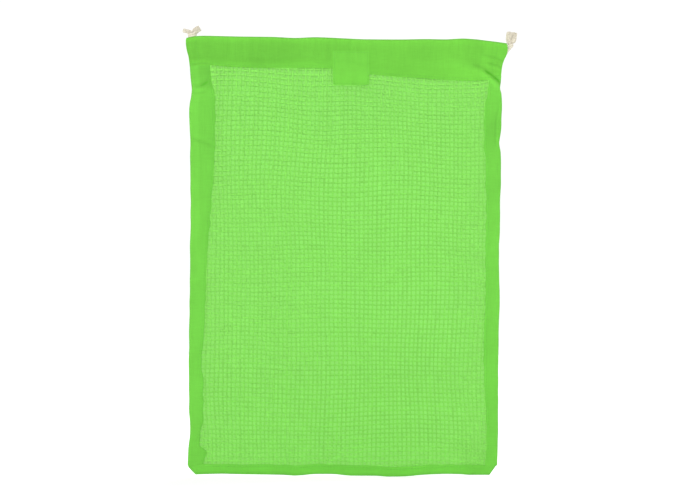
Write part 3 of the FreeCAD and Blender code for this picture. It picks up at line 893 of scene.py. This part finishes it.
BAND_LIFT, BAND_EASE = 0.32, 0.55   # off the net at the border, and more further out
INSIDE_LIFT = 0.62          # of a leg inside the bag, off the back cloth


def band_start(up, side):
    """Pattern distance from the middle to the inner border of the band."""
    return np.abs(curve(BAND_BORDERS[side], up) - edge_drift(up, side))


def band_shade(across, up, start, side):
    outward = np.abs(across)
    # a faint painted highlight along the inner border
    shade = 1.015 + 0.020 * hill(outward, start, 1.4)
    shade = shade + 0.012 * MIDDLE(across, up) + 0.014 * BROAD(across, up)
    if side < 0:
        # painted light and shade: a paler strip along the edge, over the seam allowance, and a
        # duller lower part
        strip = smooth(HALF - 9.5, HALF - 7.0, outward)
        shade = shade + (0.045 * strip - 0.030 * (1 - strip)) * smooth(190, 250, up)
        shade = shade + 0.015 * (1 - smooth(150, 230, up))
        # painted shade just under the casing, with a painted pale patch below that
        shade = shade - 0.060 * (1 - strip) * smooth(361, 368, up)
        shade = shade - 0.05 * strip * smooth(362, 372, up)
        shade = shade + 0.06 * hill(up, 360, 4.5) * smooth(HALF - 2.0, HALF - 5.0, outward)
    else:
        # painted light: paler along the edge, at the top and at the bottom
        shade = shade + 0.030 * smooth(HALF - 12, HALF - 2, outward) * smooth(60, 180, up)
        shade = shade + 0.040 * smooth(330, 360, up) + 0.030 * (1 - smooth(30, 120, up))
    shade = shade - 0.005 * (1 - smooth(40, 190, up))
    # a painted highlight where the cloth folds round the side edge
    return shade + 0.06 * smooth(HALF - 1.2, HALF + 0.2, outward)


def band(side):
    """Cloth folded round a side edge: a wide leg in front, the fold, a short leg inside."""
    up = np.linspace(BAND_LOW - 1.2, SEAM + 2.5, 300)
    start = band_start(up, side) + 0.27 * FINE(up * 0, up)
    front_edge, inside_edge = HALF - 0.9, HALF - 1.2
    front, inside = [], []
    for part in np.linspace(0, 1, 26):
        out = start + (front_edge - start) * part
        lift = BAND_LIFT + BAND_EASE * smooth(0, 0.10, part)
        front.append((out, front_y(out * side, up) - lift))
    for part in np.linspace(0, 1, 12):
        out = inside_edge - np.minimum(11.0, HALF - 2.6 - start) * part
        inside.append((out, back_y(out * side, up) - INSIDE_LIFT))
    bulge = 1.1 + 0.10 * FINE(up * 0 + 40 * side, up * 0.7)
    turn = fold(11, front_edge, bulge, front[-1][1], inside[0][1])
    out, y = thicken(front + turn + inside)
    across, up = out * side, up[:, None]
    x, z = place(across, up)
    points, faces = loft(np.stack([x, y, z], -1))
    shade = band_shade(across, up, start[:, None], side)
    # the creases' painted shade on the front leg
    shade = shade - crease_relief(x, z)[1] * (y < Y_MIDDLE + 1)
    word = SIDES[side]
    obj = build(f"{word}_band", points, faces, shade.ravel(), crisp=True)
    finish_piece(obj, BAND_CLOTH, "band_cloth", f"{word}_side_band")
    gather(obj, side)


for side in SIDES:
    band(side)


# ------------------------------------------------------------------ bottom band
BINDING_LIFT, BINDING_EASE = 0.40, 0.6  # off the net at the upper edge, and more below


def hem_top(across):
    """How high the bottom binding reaches."""
    return BAND_LOW - 0.5 - 1.0 * hill(across, 58, 34.0) + 0.22 * FINE(across, 0 * across)


def bottom_band():
    """Cloth folded round the bottom edge, with its legs in front and inside."""
    across = np.linspace(-HALF + 0.6, HALF - 0.6, 330)
    low = corner_low(across)
    height = hem_top(across) - low
    front, inside = [], []
    for part in np.linspace(0, 1, 12):
        up = low + 0.9 + (height - 0.9) * (1 - part)
        lift = BINDING_LIFT + BINDING_EASE * smooth(0, 0.14, part)
        front.append((up, front_y(across, up) - lift))
    for part in np.linspace(0, 1, 8):
        up = low + 1.0 + np.maximum(height - 3.2, 0.5) * part
        inside.append((up, back_y(across, up) - INSIDE_LIFT))
    turn = fold(9, low + 0.9, -0.9, front[-1][1], inside[0][1])
    up, y = thicken(front + turn + inside)
    across, rise = across[:, None], up - low[:, None]
    x, z = place(across, up)
    points, faces = loft(np.stack([x, y, z], -1))
    # painted shade along the lowest edge, where the cloth turns under, more so on the left; darker
    # too towards the right corner
    shade = 1.08 + 0.012 * MIDDLE(across, up) - 0.09 * smooth(2.8, 0.9, rise)
    shade = shade - 0.055 * smooth(-22, -50, across) * smooth(4.2, 1.8, rise)
    shade = shade - 0.05 * smooth(112, 128, across) - 0.03 * smooth(122, 130, across)
    obj = build("bottom_binding", points, faces, shade.ravel(), crisp=True)
    finish_piece(obj, BAND_CLOTH, "band_cloth", "bottom_band")
    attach(obj, "bag")


bottom_band()


# ------------------------------------------------------------------ casings
def casing_rise(up):
    """0 at the seam, 1 at the top of the bag."""
    return (up - SEAM) / (TOP - SEAM)


def ripple(across, up, seed):
    """Faint upright ripples along the casing, which would bunch into pleats if it were drawn."""
    wander = 1.6 * np.sin(across * 0.083 + seed) + 0.9 * np.sin(up * 0.05)
    wave = np.sin(across * 0.52 + wander)
    height = 0.62 + 0.26 * np.sin(across * 0.049 + seed * 2)
    return height * (0.5 + 0.5 * wave) - 0.05


def casing_middle(across, front):
    """The middle y of a casing, which draws in a little at its ends."""
    narrow = 0.45 * smooth(CASING_END - 6, HALF, np.abs(across))
    return Y_FRONT_CASING + narrow if front else Y_BACK_CASING - narrow


def casing_leaf(across, up, front, outer):
    """The middle of one leaf of a casing: the outer sheet you see, or the inner one."""
    out = -1 if front else 1
    rise = casing_rise(up)
    # half the casing's depth: flat where it is sewn, fuller where the cords lie
    half = 0.55 + 1.45 * smooth(0.05, 0.36, rise) - 0.25 * hill(rise, 0.58, 0.10)
    middle = casing_middle(across, front)
    cloth = (front_y if front else back_y)(across, SEAM - 1)
    if outer:
        relief = ripple(across, up, 0.6 if front else 2.2) * smooth(0.02, 0.4, rise)
        if front:
            crease = crease_relief(*place(across, up))[0]
        else:
            crease = 0.18 * BACK_MIDDLE(across, up)
        crease = np.maximum(crease, -0.25) + 0.35 * np.maximum(crease, 0)
        lower = smooth(SEAM + 8, SEAM - 1, up)
        y = (middle + out * half) * (1 - lower) + (cloth + out * 0.85) * lower
        return y + out * (relief + crease * (1 - lower))
    relief = ripple(across + 2.0, up, 1.7 if front else 3.1) * 0.7
    lower = smooth(SEAM + 8, SEAM + 1, up)
    return (middle - out * (half + relief)) * (1 - lower) + (cloth - out * 0.55) * lower


def casing_shade(across, up, side):
    rise, below_top = casing_rise(up), np.clip(TOP - up, 0, None)
    left = 1 - smooth(-110, 60, across)
    # painted shade over the body, most on the left, where it is painted paler again near the seam
    body = smooth(0.90, 0.76, rise) * (0.6 + 0.4 * smooth(0.02, 0.24, rise))
    shade = 1.015 - (0.015 + 0.045 * left) * body + 0.075 * left * smooth(0.27, 0.06, rise)
    # painted highlight along the top fold, and painted shade in a line at the seam
    shade = shade + 0.11 * np.exp(-((below_top / 3.2) ** 1.3)) + 0.035 * hill(below_top, 0, 7.5)
    shade = shade + 0.010 * MIDDLE(across, up) + 0.012 * BROAD(across, up)
    shade = shade - 0.02 * hill(rise, 0, 0.03)
    if side < 0:
        # painted light and shade: a pale patch low down, a dull one at the end, and a highlight
        # and a shaded line along its rolled edge
        shade = shade + 0.045 * hill(across, -47, 26) * smooth(0.36, 0.20, rise)
        end = smooth(-138, -144, across) * smooth(0.60, 0.46, rise) * smooth(0.12, 0.24, rise)
        shade = shade - 0.045 * end + 0.05 * hill(np.abs(across), 146.8, 0.9)
        return shade - 0.06 * hill(np.abs(across), 148.9, 0.7)
    # painted light and shade: paler to the right, with a dull patch beside x = 123 and another at
    # the end
    shade = shade + 0.045 * smooth(55, 112, across) * smooth(0.85, 0.55, rise)
    shade = shade + 0.045 * smooth(80, 125, across) * smooth(0.50, 0.20, rise)
    shade = shade - 0.060 * hill(across, 123, 6.5) * smooth(0.15, 0.32, rise)
    pale = smooth(50, 75, across) * smooth(0.60, 0.38, rise) * smooth(130, 118, across)
    end = smooth(133, 140, across) * smooth(0.60, 0.46, rise) * smooth(0.08, 0.20, rise)
    return shade + 0.045 * pale - 0.055 * end


def casing(side, front):
    """Half of one casing: a sheet that rises outside, folds over at the top and comes
    down inside, with its two cords between."""
    out = np.linspace(0, HALF + 0.4, 150)
    bulge = 2.0
    fold_up = TOP - bulge
    outer = [(up, casing_leaf(out * side, up, front, True))
             for up in np.linspace(SEAM - 0.6, fold_up, 34)]
    inner = [(up, casing_leaf(out * side, up, front, False))
             for up in np.linspace(fold_up, SEAM + 1.5, 26)]
    turn = fold(11, fold_up, bulge, outer[-1][1], inner[0][1])
    up, y = thicken(outer + turn + inner)
    across = out[:, None] * side
    x, z = place(across, up)
    points, faces = loft(np.stack([x, y, z], -1))
    outside = (y - casing_middle(across, front)) * (-1 if front else 1) > 0
    shade = casing_shade(across, up, side)
    # the creases' painted shade on the outer sheet
    if front:
        shade = shade - crease_relief(x, z)[1] * outside
    # the inner sheet, out of sight inside the casing, drops the painted light and shade for a
    # flat, slightly darker tone
    shade = np.where(outside | (TOP - up < 2.0), shade, 0.97)
    word, face = SIDES[side], ("front" if front else "back")
    obj = build(f"{face}_casing_{word}", points, faces, shade.ravel(), crisp=True)
    finish_piece(obj, CASING_CLOTH, "casing_cloth", f"{face}_casing", f"{word}_casing_end")
    gather(obj, side)


for side in SIDES:
    casing(side, True)
    casing(side, False)


# ------------------------------------------------------------------ label
LABEL_ENDS = {-1: LABEL_LEFT, 1: LABEL_RIGHT}
MIDDLE_X = float(place(0.0, 390.0)[0])      # where the two halves of the label meet


def label_y(across, up):
    """The label lies on the casing above and hangs just clear of the net below."""
    on_casing = casing_leaf(across, np.maximum(up, SEAM + 7), True, True) - 0.50
    hanging = front_y(across, np.minimum(up, SEAM - 3)) - 1.35
    share = smooth(SEAM - 8, SEAM + 8, up)
    curl = 0.35 * np.exp(-(up - LABEL_LOW) / 3.0) * (1 + 0.5 * np.sin(across * 0.35))
    y = on_casing * share + hanging * (1 - share)
    return y - 0.06 * MIDDLE(across * 2, up * 2) - curl


def label(side):
    columns, rows = 30, 46
    width = LABEL_ENDS[side] - MIDDLE_X
    part = np.linspace(0, 1, columns)
    x, z = np.meshgrid(MIDDLE_X + width * part, np.linspace(LABEL_LOW + 0.2, LABEL_HIGH, rows))
    # soft corners and edges that are not quite straight
    x = x + side * (0.20 * np.sin(z * 0.31 + 1.0) * part**4 + 0.12 * np.sin(z * 0.9) * part**8)
    corner = np.clip(np.abs(z - (LABEL_LOW + LABEL_HIGH) / 2) - 15.2, 0, None)
    x = x - side * 0.55 * corner * part**12
    to_edge = np.minimum(z - LABEL_LOW, LABEL_HIGH - z)
    z = z + 0.16 * np.sin(x * 0.33 + 0.5) * np.exp(-to_edge / 2.0)
    to_rim = np.minimum((1 - part) * abs(width), np.minimum(z - LABEL_LOW, LABEL_HIGH - z))
    # the rim is slightly raised inside the stitching
    y = label_y(*pattern_of(x, z)) - 0.10 * hill(to_rim, 2.6, 1.3)
    # painted shade in a line just inside the rim, and painted light over the lower part
    tone = 1 - 0.045 * hill(to_rim, 1.5, 0.35) + 0.045 * smooth(389, 381, z)
    faces = [group[:, ::-1] for group in two_layer_faces(rows, columns)]
    obj = build(f"label_{SIDES[side]}", two_layers(x, y, z, -0.20), faces,
                np.concatenate([tone.ravel()] * 2), crisp=True)
    finish_piece(obj, LABEL_CLOTH, "label_cloth", "label_patch")
    gather(obj, side)


for side in SIDES:
    label(side)


# ------------------------------------------------------------------ stitches
STITCH_PITCH, STITCH_LENGTH, STITCH_RADIUS, STITCH_SINK = 2.9, 2.1, 0.19, 0.03


def seam_line(across, up, y, outward):
    """Evenly spaced stitch centres, directions and outward normals along a pattern line."""
    x, z = place(across, up)
    points = np.stack(np.broadcast_arrays(x, y, z), -1)
    steps = np.linalg.norm(np.diff(points, axis=0), axis=1)
    run = np.concatenate([[0], np.cumsum(steps)])
    at = np.arange(STITCH_PITCH / 2, run[-1], STITCH_PITCH)

    def point_at(distance):
        return np.stack([np.interp(distance, run, points[:, i]) for i in range(3)], -1)

    along = point_at(at + 0.4) - point_at(at - 0.4)
    along = along / np.linalg.norm(along, axis=1, keepdims=True)
    normal = np.zeros_like(along)
    normal[:, 1] = outward
    normal = normal - along * np.sum(normal * along, 1, keepdims=True)
    return point_at(at), along, normal / np.linalg.norm(normal, axis=1, keepdims=True)


def stitch_mesh(centres, along, normal):
    """A run of separate stitches: each dips into the cloth at both ends."""
    rows = 7
    part = np.linspace(-1, 1, rows)[None, :, None, None]
    size = STITCH_RADIUS * np.sqrt(np.clip(1 - np.abs(part) ** 3.2, 0.03, 1))
    rise = (1 - part**2) * STITCH_RADIUS * 1.1 - STITCH_SINK - STITCH_RADIUS * 0.35
    angle = (np.arange(RING) / RING * 2 * PI)[None, None, :, None]
    centres, along, normal = [each[:, None, None, :] for each in (centres, along, normal)]
    points = (
        centres + along * (part * STITCH_LENGTH / 2) + normal * rise
        + normal * (size * np.sin(angle)) + np.cross(along, normal) * (size * np.cos(angle))
    )
    quads = thread_faces(rows, RING_CAP[:, ::-1])
    first = np.arange(len(centres)) * rows * RING
    return points.reshape(-1, 3), (quads[None] + first[:, None, None]).reshape(-1, 4)


def stitches(name, runs, side, replaced):
    """Stitch lines given as (across, up, y, outward); side 0 keeps them still."""
    points, faces, base = [], [], 0
    for run in runs:
        run_points, quads = stitch_mesh(*seam_line(*run))
        points.append(run_points)
        faces.append(quads + base)
        base += len(run_points)
    obj = build(name, np.concatenate(points), faces)
    finish_piece(obj, THREAD, "thread", replaced)
    if side:
        gather(obj, side)
    else:
        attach(obj, "bag")


def along_line(start, end):
    return np.linspace(start, end, 240)


def casing_run(across, up, front):
    outward = -1 if front else 1
    y = casing_leaf(across, up, front, True) + outward * CLOTH_HALF
    return across, up, y, outward


def back_run(across, up):
    return across, up, back_y(across, up) + PANEL_HALF_THICKNESS, 1


def label_runs(side):
    """Lines along the top, the bottom and the end of a label half."""
    end = LABEL_ENDS[side] - side * 1.5
    low, high = LABEL_LOW + 1.6, LABEL_HIGH - 1.5
    corners = (
        ((MIDDLE_X, high), (end, high)),
        ((MIDDLE_X, low), (end, low)),
        ((end, low), (end, high)),
    )
    runs = []
    for (x_from, z_from), (x_to, z_to) in corners:
        across, up = pattern_of(along_line(x_from, x_to), along_line(z_from, z_to))
        runs.append((across, up, label_y(across, up) - 0.22, -1))
    return runs


for side, word in SIDES.items():
    # the front casing's seam starts beside the label
    label_edge = pattern_of(LABEL_ENDS[side], 386.0)[0] + side * 0.8
    seam_end, seam_up = (HALF - 1.5) * side, SEAM + 1.7
    front_seam = casing_run(along_line(label_edge, seam_end), seam_up, True)
    stitches(f"front_casing_stitches_{word}", [front_seam], side, "front_casing_stitching")
    back_seam = casing_run(along_line(0, seam_end), seam_up, False)
    stitches(f"back_casing_stitches_{word}", [back_seam], side, "back_casing_stitching")
    upright = along_line(BAND_LOW + 2, SEAM - 3)
    border = (band_start(upright, side) + 2.2) * side
    band_face = front_y(border, upright) - BAND_LIFT - BAND_EASE - CLOTH_HALF
    stitches(f"{word}_band_stitches", [(border, upright, band_face, -1)], side,
             f"{word}_band_stitching")
    stitches(f"back_seam_stitches_{word}", [
        back_run((HALF - 9.0) * side, upright),
        back_run(along_line(0, (HALF - 13.0) * side), 5.0),
    ], side, "back_seam_stitching")
    end_up = along_line(SEAM + 5, TOP - 4)
    end_runs = [casing_run((CASING_END + 3.2) * side, end_up, front) for front in (True, False)]
    stitches(f"{word}_casing_end_stitches", end_runs, side, f"{word}_end_stitching")
    stitches(f"label_stitches_{word}", label_runs(side), side, "label_stitching")

hem_across = (HALF - 22.0) * np.linspace(-1, 1, 400)
hem_up = hem_top(hem_across) - 2.1
hem_face = front_y(hem_across, hem_up) - BINDING_LIFT - BINDING_EASE - CLOTH_HALF
stitches("bottom_binding_stitches", [(hem_across, hem_up, hem_face, -1)], 0,
         "bottom_band_stitching")


# ------------------------------------------------------------------ cords
def path_frames(path):
    """Two steady directions across a path."""
    along = np.gradient(path, axis=0)
    along = along / np.linalg.norm(along, axis=1, keepdims=True)
    normal = np.zeros_like(along)
    first = np.array([0.0, 1.0, 0.0] if abs(along[0][1]) < 0.8 else [1.0, 0.0, 0.0])
    normal[0] = first - along[0] * (first @ along[0])
    normal[0] /= np.linalg.norm(normal[0])
    for i in range(1, len(along)):
        turned = normal[i - 1] - along[i] * (normal[i - 1] @ along[i])
        normal[i] = turned / np.linalg.norm(turned)
    return normal, np.cross(along, normal)


def path_run(path):
    """Distance along a path at each of its points."""
    return np.concatenate([[0], np.cumsum(np.linalg.norm(np.diff(path, axis=0), axis=1))])


def resample(points, step):
    points = np.asarray(points, float)
    run = path_run(points)
    at = np.linspace(0, run[-1], max(8, int(run[-1] / step)))
    return np.stack([np.interp(at, run, points[:, i]) for i in range(3)], -1)


def soften(points):
    """Rounds the corners of a path and keeps its ends."""
    path = np.asarray(points, float)
    for _ in range(3):
        near, far = 0.75 * path[:-1] + 0.25 * path[1:], 0.25 * path[:-1] + 0.75 * path[1:]
        cut = np.stack([near, far], 1).reshape(-1, 3)[1:-1]
        path = np.concatenate([path[:1], cut, path[-1:]])
    return path


class Bundle:
    """Collects closed tubes into one mesh."""

    def __init__(self):
        self.points, self.quads, self.triangles, self.base = [], [], [], 0

    def add(self, path, radius, ring, turn=0.0):
        """One tube round a path; radius may vary along it."""
        normal, binormal = path_frames(path)
        count = len(path)
        radius = np.broadcast_to(np.asarray(radius, float), (count,))[:, None, None]
        angle = (np.arange(ring) / ring * 2 * PI + turn)[None, :, None]
        spoke = normal[:, None] * np.cos(angle) + binormal[:, None] * np.sin(angle)
        last = (count - 1) * ring
        caps = [[0, i + 1, i] for i in range(1, ring - 1)]
        caps += [[last, last + i, last + i + 1] for i in range(1, ring - 1)]
        self.points.append((path[:, None] + spoke * radius).reshape(-1, 3))
        self.quads.append(grid_faces(count, ring, self.base, wrap=True))
        self.triangles.append(np.array(caps) + self.base)
        self.base += count * ring

    def rope(self, path, radius, lay, start=0.0):
        """Three twisted strands round a path; lay is the length of one turn."""
        normal, binormal = path_frames(path)
        run = path_run(path)
        strand_radius = radius * 0.56
        for k in range(3):
            angle = (2 * PI * (run / lay + k / 3) + start)[:, None]
            spoke = normal * np.cos(angle) + binormal * np.sin(angle)
            centre = path + spoke * (radius - strand_radius)
            self.add(centre, strand_radius, ring=7, turn=k * 0.4)

    def make(self, name):
        faces = [np.concatenate(self.quads), np.concatenate(self.triangles)]
        return build(name, np.concatenate(self.points), faces)


def frayed_tail(bundle, start, direction, spread, seed, fibres):
    """A cord end: the strands open straight out of the knot into a full, blunt tuft."""
    random = np.random.default_rng(seed)
    sink, thickness = 0.8, 0.17
    length = np.linalg.norm(direction)
    forward = np.array(direction) / length
    side_a = np.cross(forward, [0, 1.0, 0.1])
    side_a /= np.linalg.norm(side_a)
    side_b = np.cross(forward, side_a)
    part = np.linspace(0, 1, 9)[:, None]
    opening = spread * (0.66 + 0.34 * smooth(0, 0.40, part))
    # three strands, each still holding together for a while, then loosening
    for k in range(fibres):
        strand_angle = 2 * PI * (k % 3) / 3 + 0.9 + 0.9 * part * length / 5.0
        angle, out = random.uniform(0, 2 * PI), math.sqrt(random.uniform(0, 1))
        fibre = side_a * math.cos(angle) + side_b * math.sin(angle)
        strand = side_a * np.cos(strand_angle) + side_b * np.sin(strand_angle)
        reach = length + sink + random.uniform(-1.5, 0.5) * (0.4 + out)
        path = start - forward * sink + forward * part * reach
        path = path + strand * (0.50 * opening) + fibre * out * (0.62 * opening)
        curl = (side_a * random.normal() + side_b * random.normal()) * 0.28
        path = path + curl * np.sin(part * PI * random.uniform(0.8, 2.2)) * part
        path = path + 0.09 * random.normal(size=(9, 3)) * part
        bundle.add(path, thickness * (1 - 0.35 * part[:, 0] ** 2), ring=5)


def coil_knot(bundle, centre, radius, height, turns, start):
    """The fat turns of an overhand knot pulled tight round the doubled cord."""
    part = np.linspace(0, 1, 120)
    angle = 2 * PI * turns * part + start
    swell = 0.62 + 0.38 * np.sin(PI * np.clip(part * 1.06 - 0.03, 0, 1)) ** 0.6
    reach = (radius - 1.15) * swell
    z = (part - 0.5) * (height - 2.1) + 0.55 * np.sin(angle + 0.6)
    path = np.stack([reach * np.cos(angle), reach * np.sin(angle), z], -1) + centre
    bundle.rope(resample(path, 0.28), 1.2, lay=4.4, start=start)


CORD_RADIUS = 1.3
PAIR = 1.35                 # of each cord leg from the middle, where the two lie side by side
CASING_OFFSET = Y_MIDDLE - Y_FRONT_CASING
# Each cord is named after the side its knot is on. level: its height in the casing. lead: its
# front leg from knot to casing, as x from the knot, y from the middle of the bag, z from the
# level. core_spread: how far apart the legs leave the knot. tails: start from the middle of
# the knot's top, direction, spread, seed, number of fibres.
CORDS = {
    "left": dict(
        level=409.0, knot_shift=0.0, core_spread=0.9, coil_turns=1.9, coil_start=0.7,
        sag_phase=1,
        lead=[(0.0, -PAIR, 6.0), (-0.4, -3.0, 2.0), (2.0, -CASING_OFFSET, 0.0)],
        tails=[
            ((-0.6, -0.6, -0.7), (-8.0, -0.6, 2.5), 2.0, 5, 120),
            ((1.0, 0.6, -0.2), (6.4, 0.5, 3.6), 3.0, 6, 190),
        ],
    ),
    "right": dict(
        level=401.0, knot_shift=-0.9, core_spread=0.8, coil_turns=2.3, coil_start=2.2,
        sag_phase=3,
        lead=[(-2.7, -PAIR, 5.9), (-4.7, -3.1, 2.0), (-8.5, -CASING_OFFSET, 0.0)],
        tails=[
            ((-1.7, -0.4, -1.5), (0.9, -0.5, 10.9), 2.6, 7, 190),
            ((2.6, 0.4, -0.2), (1.8, 0.5, 9.0), 2.6, 8, 180),
        ],
    ),
}


def cord_path(word, cord, knot_x, knot_low):
    """From the knot through the front casing, round the far end and back through the other."""
    low, high = span(f"{word}_cord")
    away = 1 if word == "left" else -1
    bend_radius = (Y_BACK_CASING - Y_FRONT_CASING) / 2
    far = (high[0] if away > 0 else low[0]) - away * (CORD_RADIUS + bend_radius)
    front = [(knot_x, Y_MIDDLE - PAIR, knot_low + 0.6)]
    front += [(knot_x + x, Y_MIDDLE + y, cord["level"] + z) for x, y, z in cord["lead"]]
    back = [(x, 2 * Y_MIDDLE - y, z) for x, y, z in front]
    bend = [(far + away * math.cos(angle) * bend_radius,
             Y_MIDDLE + math.sin(angle) * bend_radius, cord["level"])
            for angle in np.linspace(-PI / 2, PI / 2, 13)]
    path = resample(np.concatenate([soften(front), np.array(bend), soften(back)[::-1]]), 0.62)
    # a hung cord is never quite straight
    inside = smooth(CASING_END - 2, CASING_END - 30, np.abs(path[:, 0]))
    path[:, 2] += 0.45 * np.sin(path[:, 0] * 0.045 + cord["sag_phase"]) * inside
    # the casing narrows a little towards its ends, and the cord with it
    offset = path[:, 1] - Y_MIDDLE
    narrow = smooth(CASING_END - 8, HALF - 3, np.abs(path[:, 0]))
    path[:, 1] -= np.sign(offset) * 0.75 * narrow * smooth(2.6, 4.2, np.abs(offset))
    return path


def cord_piece(bundle, word, name, replaced):
    obj = bundle.make(f"{word}_{name}")
    finish_piece(obj, CORD, "cord", f"{word}_{replaced}")
    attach(obj, f"{word}_cord")


def cord_set(word, cord):
    knot_min, knot_max = span(f"{word}_knot")
    knot_x = (knot_min[0] + knot_max[0]) / 2 + cord["knot_shift"]
    low, high = knot_min[2], knot_max[2]
    rope = Bundle()
    rope.rope(cord_path(word, cord, knot_x, low), CORD_RADIUS, lay=5.2)
    cord_piece(rope, word, "drawcord", "cord")

    knot = Bundle()
    centre = np.array([knot_x, Y_MIDDLE, (low + high) / 2])
    for way in (-1, 1):
        core = [
            (knot_x, Y_MIDDLE + way * PAIR, low - 0.4),
            (knot_x + 0.3 * way, Y_MIDDLE + way * 0.9, centre[2]),
            (knot_x + cord["core_spread"] * way, Y_MIDDLE + way * 0.5, high + 0.4),
        ]
        knot.rope(resample(core, 0.3), 1.15, lay=4.4, start=way)
    coil_knot(knot, centre, radius=(knot_max[0] - knot_min[0]) / 2, height=high - low + 0.4,
              turns=cord["coil_turns"], start=cord["coil_start"])
    cord_piece(knot, word, "cord_knot", "knot")

    tails = Bundle()
    for offset, direction, spread, seed, fibres in cord["tails"]:
        start = np.array([knot_x, Y_MIDDLE, high]) + offset
        frayed_tail(tails, start, direction, spread, seed, fibres)
    cord_piece(tails, word, "cord_ends", "cord_tails")


for word, cord in CORDS.items():
    cord_set(word, cord)


# ------------------------------------------------------------------ stage, light, camera
scene = bpy.context.scene


def make_floor():
    """White paper that also glows a little where the camera sees it."""
    size = 14.0
    mesh = bpy.data.meshes.new("floor")
    corners = [(-size, -size, 0), (size, -size, 0), (size, size, 0), (-size, size, 0)]
    mesh.from_pydata(corners, [], [(0, 1, 2, 3)])
    floor = bpy.data.objects.new("floor", mesh)
    floor.location = (0, 0, -0.0022)
    scene.collection.objects.link(floor)
    material = bpy.data.materials.new("floor_paper")
    material.use_nodes = True
    tree = material.node_tree
    shader = Shader(tree)
    paper = tree.nodes["Principled BSDF"]
    paper.inputs["Base Color"].default_value = (0.93, 0.93, 0.93, 1)
    paper.inputs["Roughness"].default_value = 0.95
    paper.inputs["Specular IOR Level"].default_value = 0.0
    grain = shader.node("TexNoise", {"Scale": 900})
    fleck = shader.remap(grain, source=(0, 1), target=(0.985, 1.0))
    seen = shader.node("LightPath").outputs["Is Camera Ray"]
    glow = shader.node("Emission", {"Strength": 0.50, "Color": fleck})
    both = shader.node("AddShader", {0: paper, 1: glow})
    gate = shader.node("MixShader", {0: seen, 1: paper, 2: both})
    shader.link(gate, tree.nodes["Material Output"].inputs[0])
    mesh.materials.append(material)


def make_world():
    """White to the camera, a faint cool light on everything else."""
    world = bpy.data.worlds.new("studio")
    scene.world = world
    world.use_nodes = True
    world.node_tree.nodes.clear()
    shader = Shader(world.node_tree)
    seen = shader.node("Background", {"Color": (1, 1, 1, 1), "Strength": 1.05})
    lit = shader.node("Background", {"Color": (0.97, 0.985, 1.0, 1), "Strength": 0.16})
    camera_ray = shader.node("LightPath").outputs["Is Camera Ray"]
    pick = shader.node("MixShader", {0: camera_ray, 1: lit, 2: seen})
    shader.node("OutputWorld", {0: pick})


# name, direction the light travels, strength, angular size in degrees, colour
SUNS = [
    ("front_light", (0.0, 1.0, -0.015), 2.75, 3.0, (1, 1, 1)),
    ("high_left_light", (0.42, 0.36, -0.83), 0.95, 30.0, (1.0, 0.995, 0.98)),
    ("left_light", (1.0, 0.06, -0.25), 0.7, 40.0, (1, 1, 1)),
    ("right_light", (-1.0, 0.06, -0.25), 0.7, 40.0, (1, 1, 1)),
    ("back_light", (-0.30, -0.90, -0.35), 2.9, 35.0, (1, 1, 1)),
]


def aim(obj, direction):
    obj.rotation_mode = "QUATERNION"
    obj.rotation_quaternion = Vector(direction).to_track_quat("-Z", "Y")


def make_lights():
    for name, direction, strength, size, colour in SUNS:
        light = bpy.data.lights.new(name, "SUN")
        light.energy = strength
        light.angle = math.radians(size)
        light.color = colour
        obj = bpy.data.objects.new(name, light)
        aim(obj, direction)
        obj.location = (0, 0, 2)
        scene.collection.objects.link(obj)


def make_camera():
    """A long lens far in front of the bag, looking along +y."""
    distance, view_width, sensor = 12.0, 0.672, 36.0
    camera = bpy.data.cameras.new("camera")
    obj = bpy.data.objects.new("camera", camera)
    scene.collection.objects.link(obj)
    camera.sensor_width = sensor
    camera.lens = sensor * distance / view_width
    obj.location = (0.00298, -0.0125 - distance, 0.2157)
    aim(obj, (0, 1, 0))
    camera.clip_start, camera.clip_end = 0.1, 100
    scene.camera = obj


make_floor()
make_world()
make_lights()
make_camera()
scene.view_settings.view_transform = "Standard"
scene.view_settings.look = "None"
scene.view_settings.exposure = 0.0
scene.view_settings.gamma = 1.0
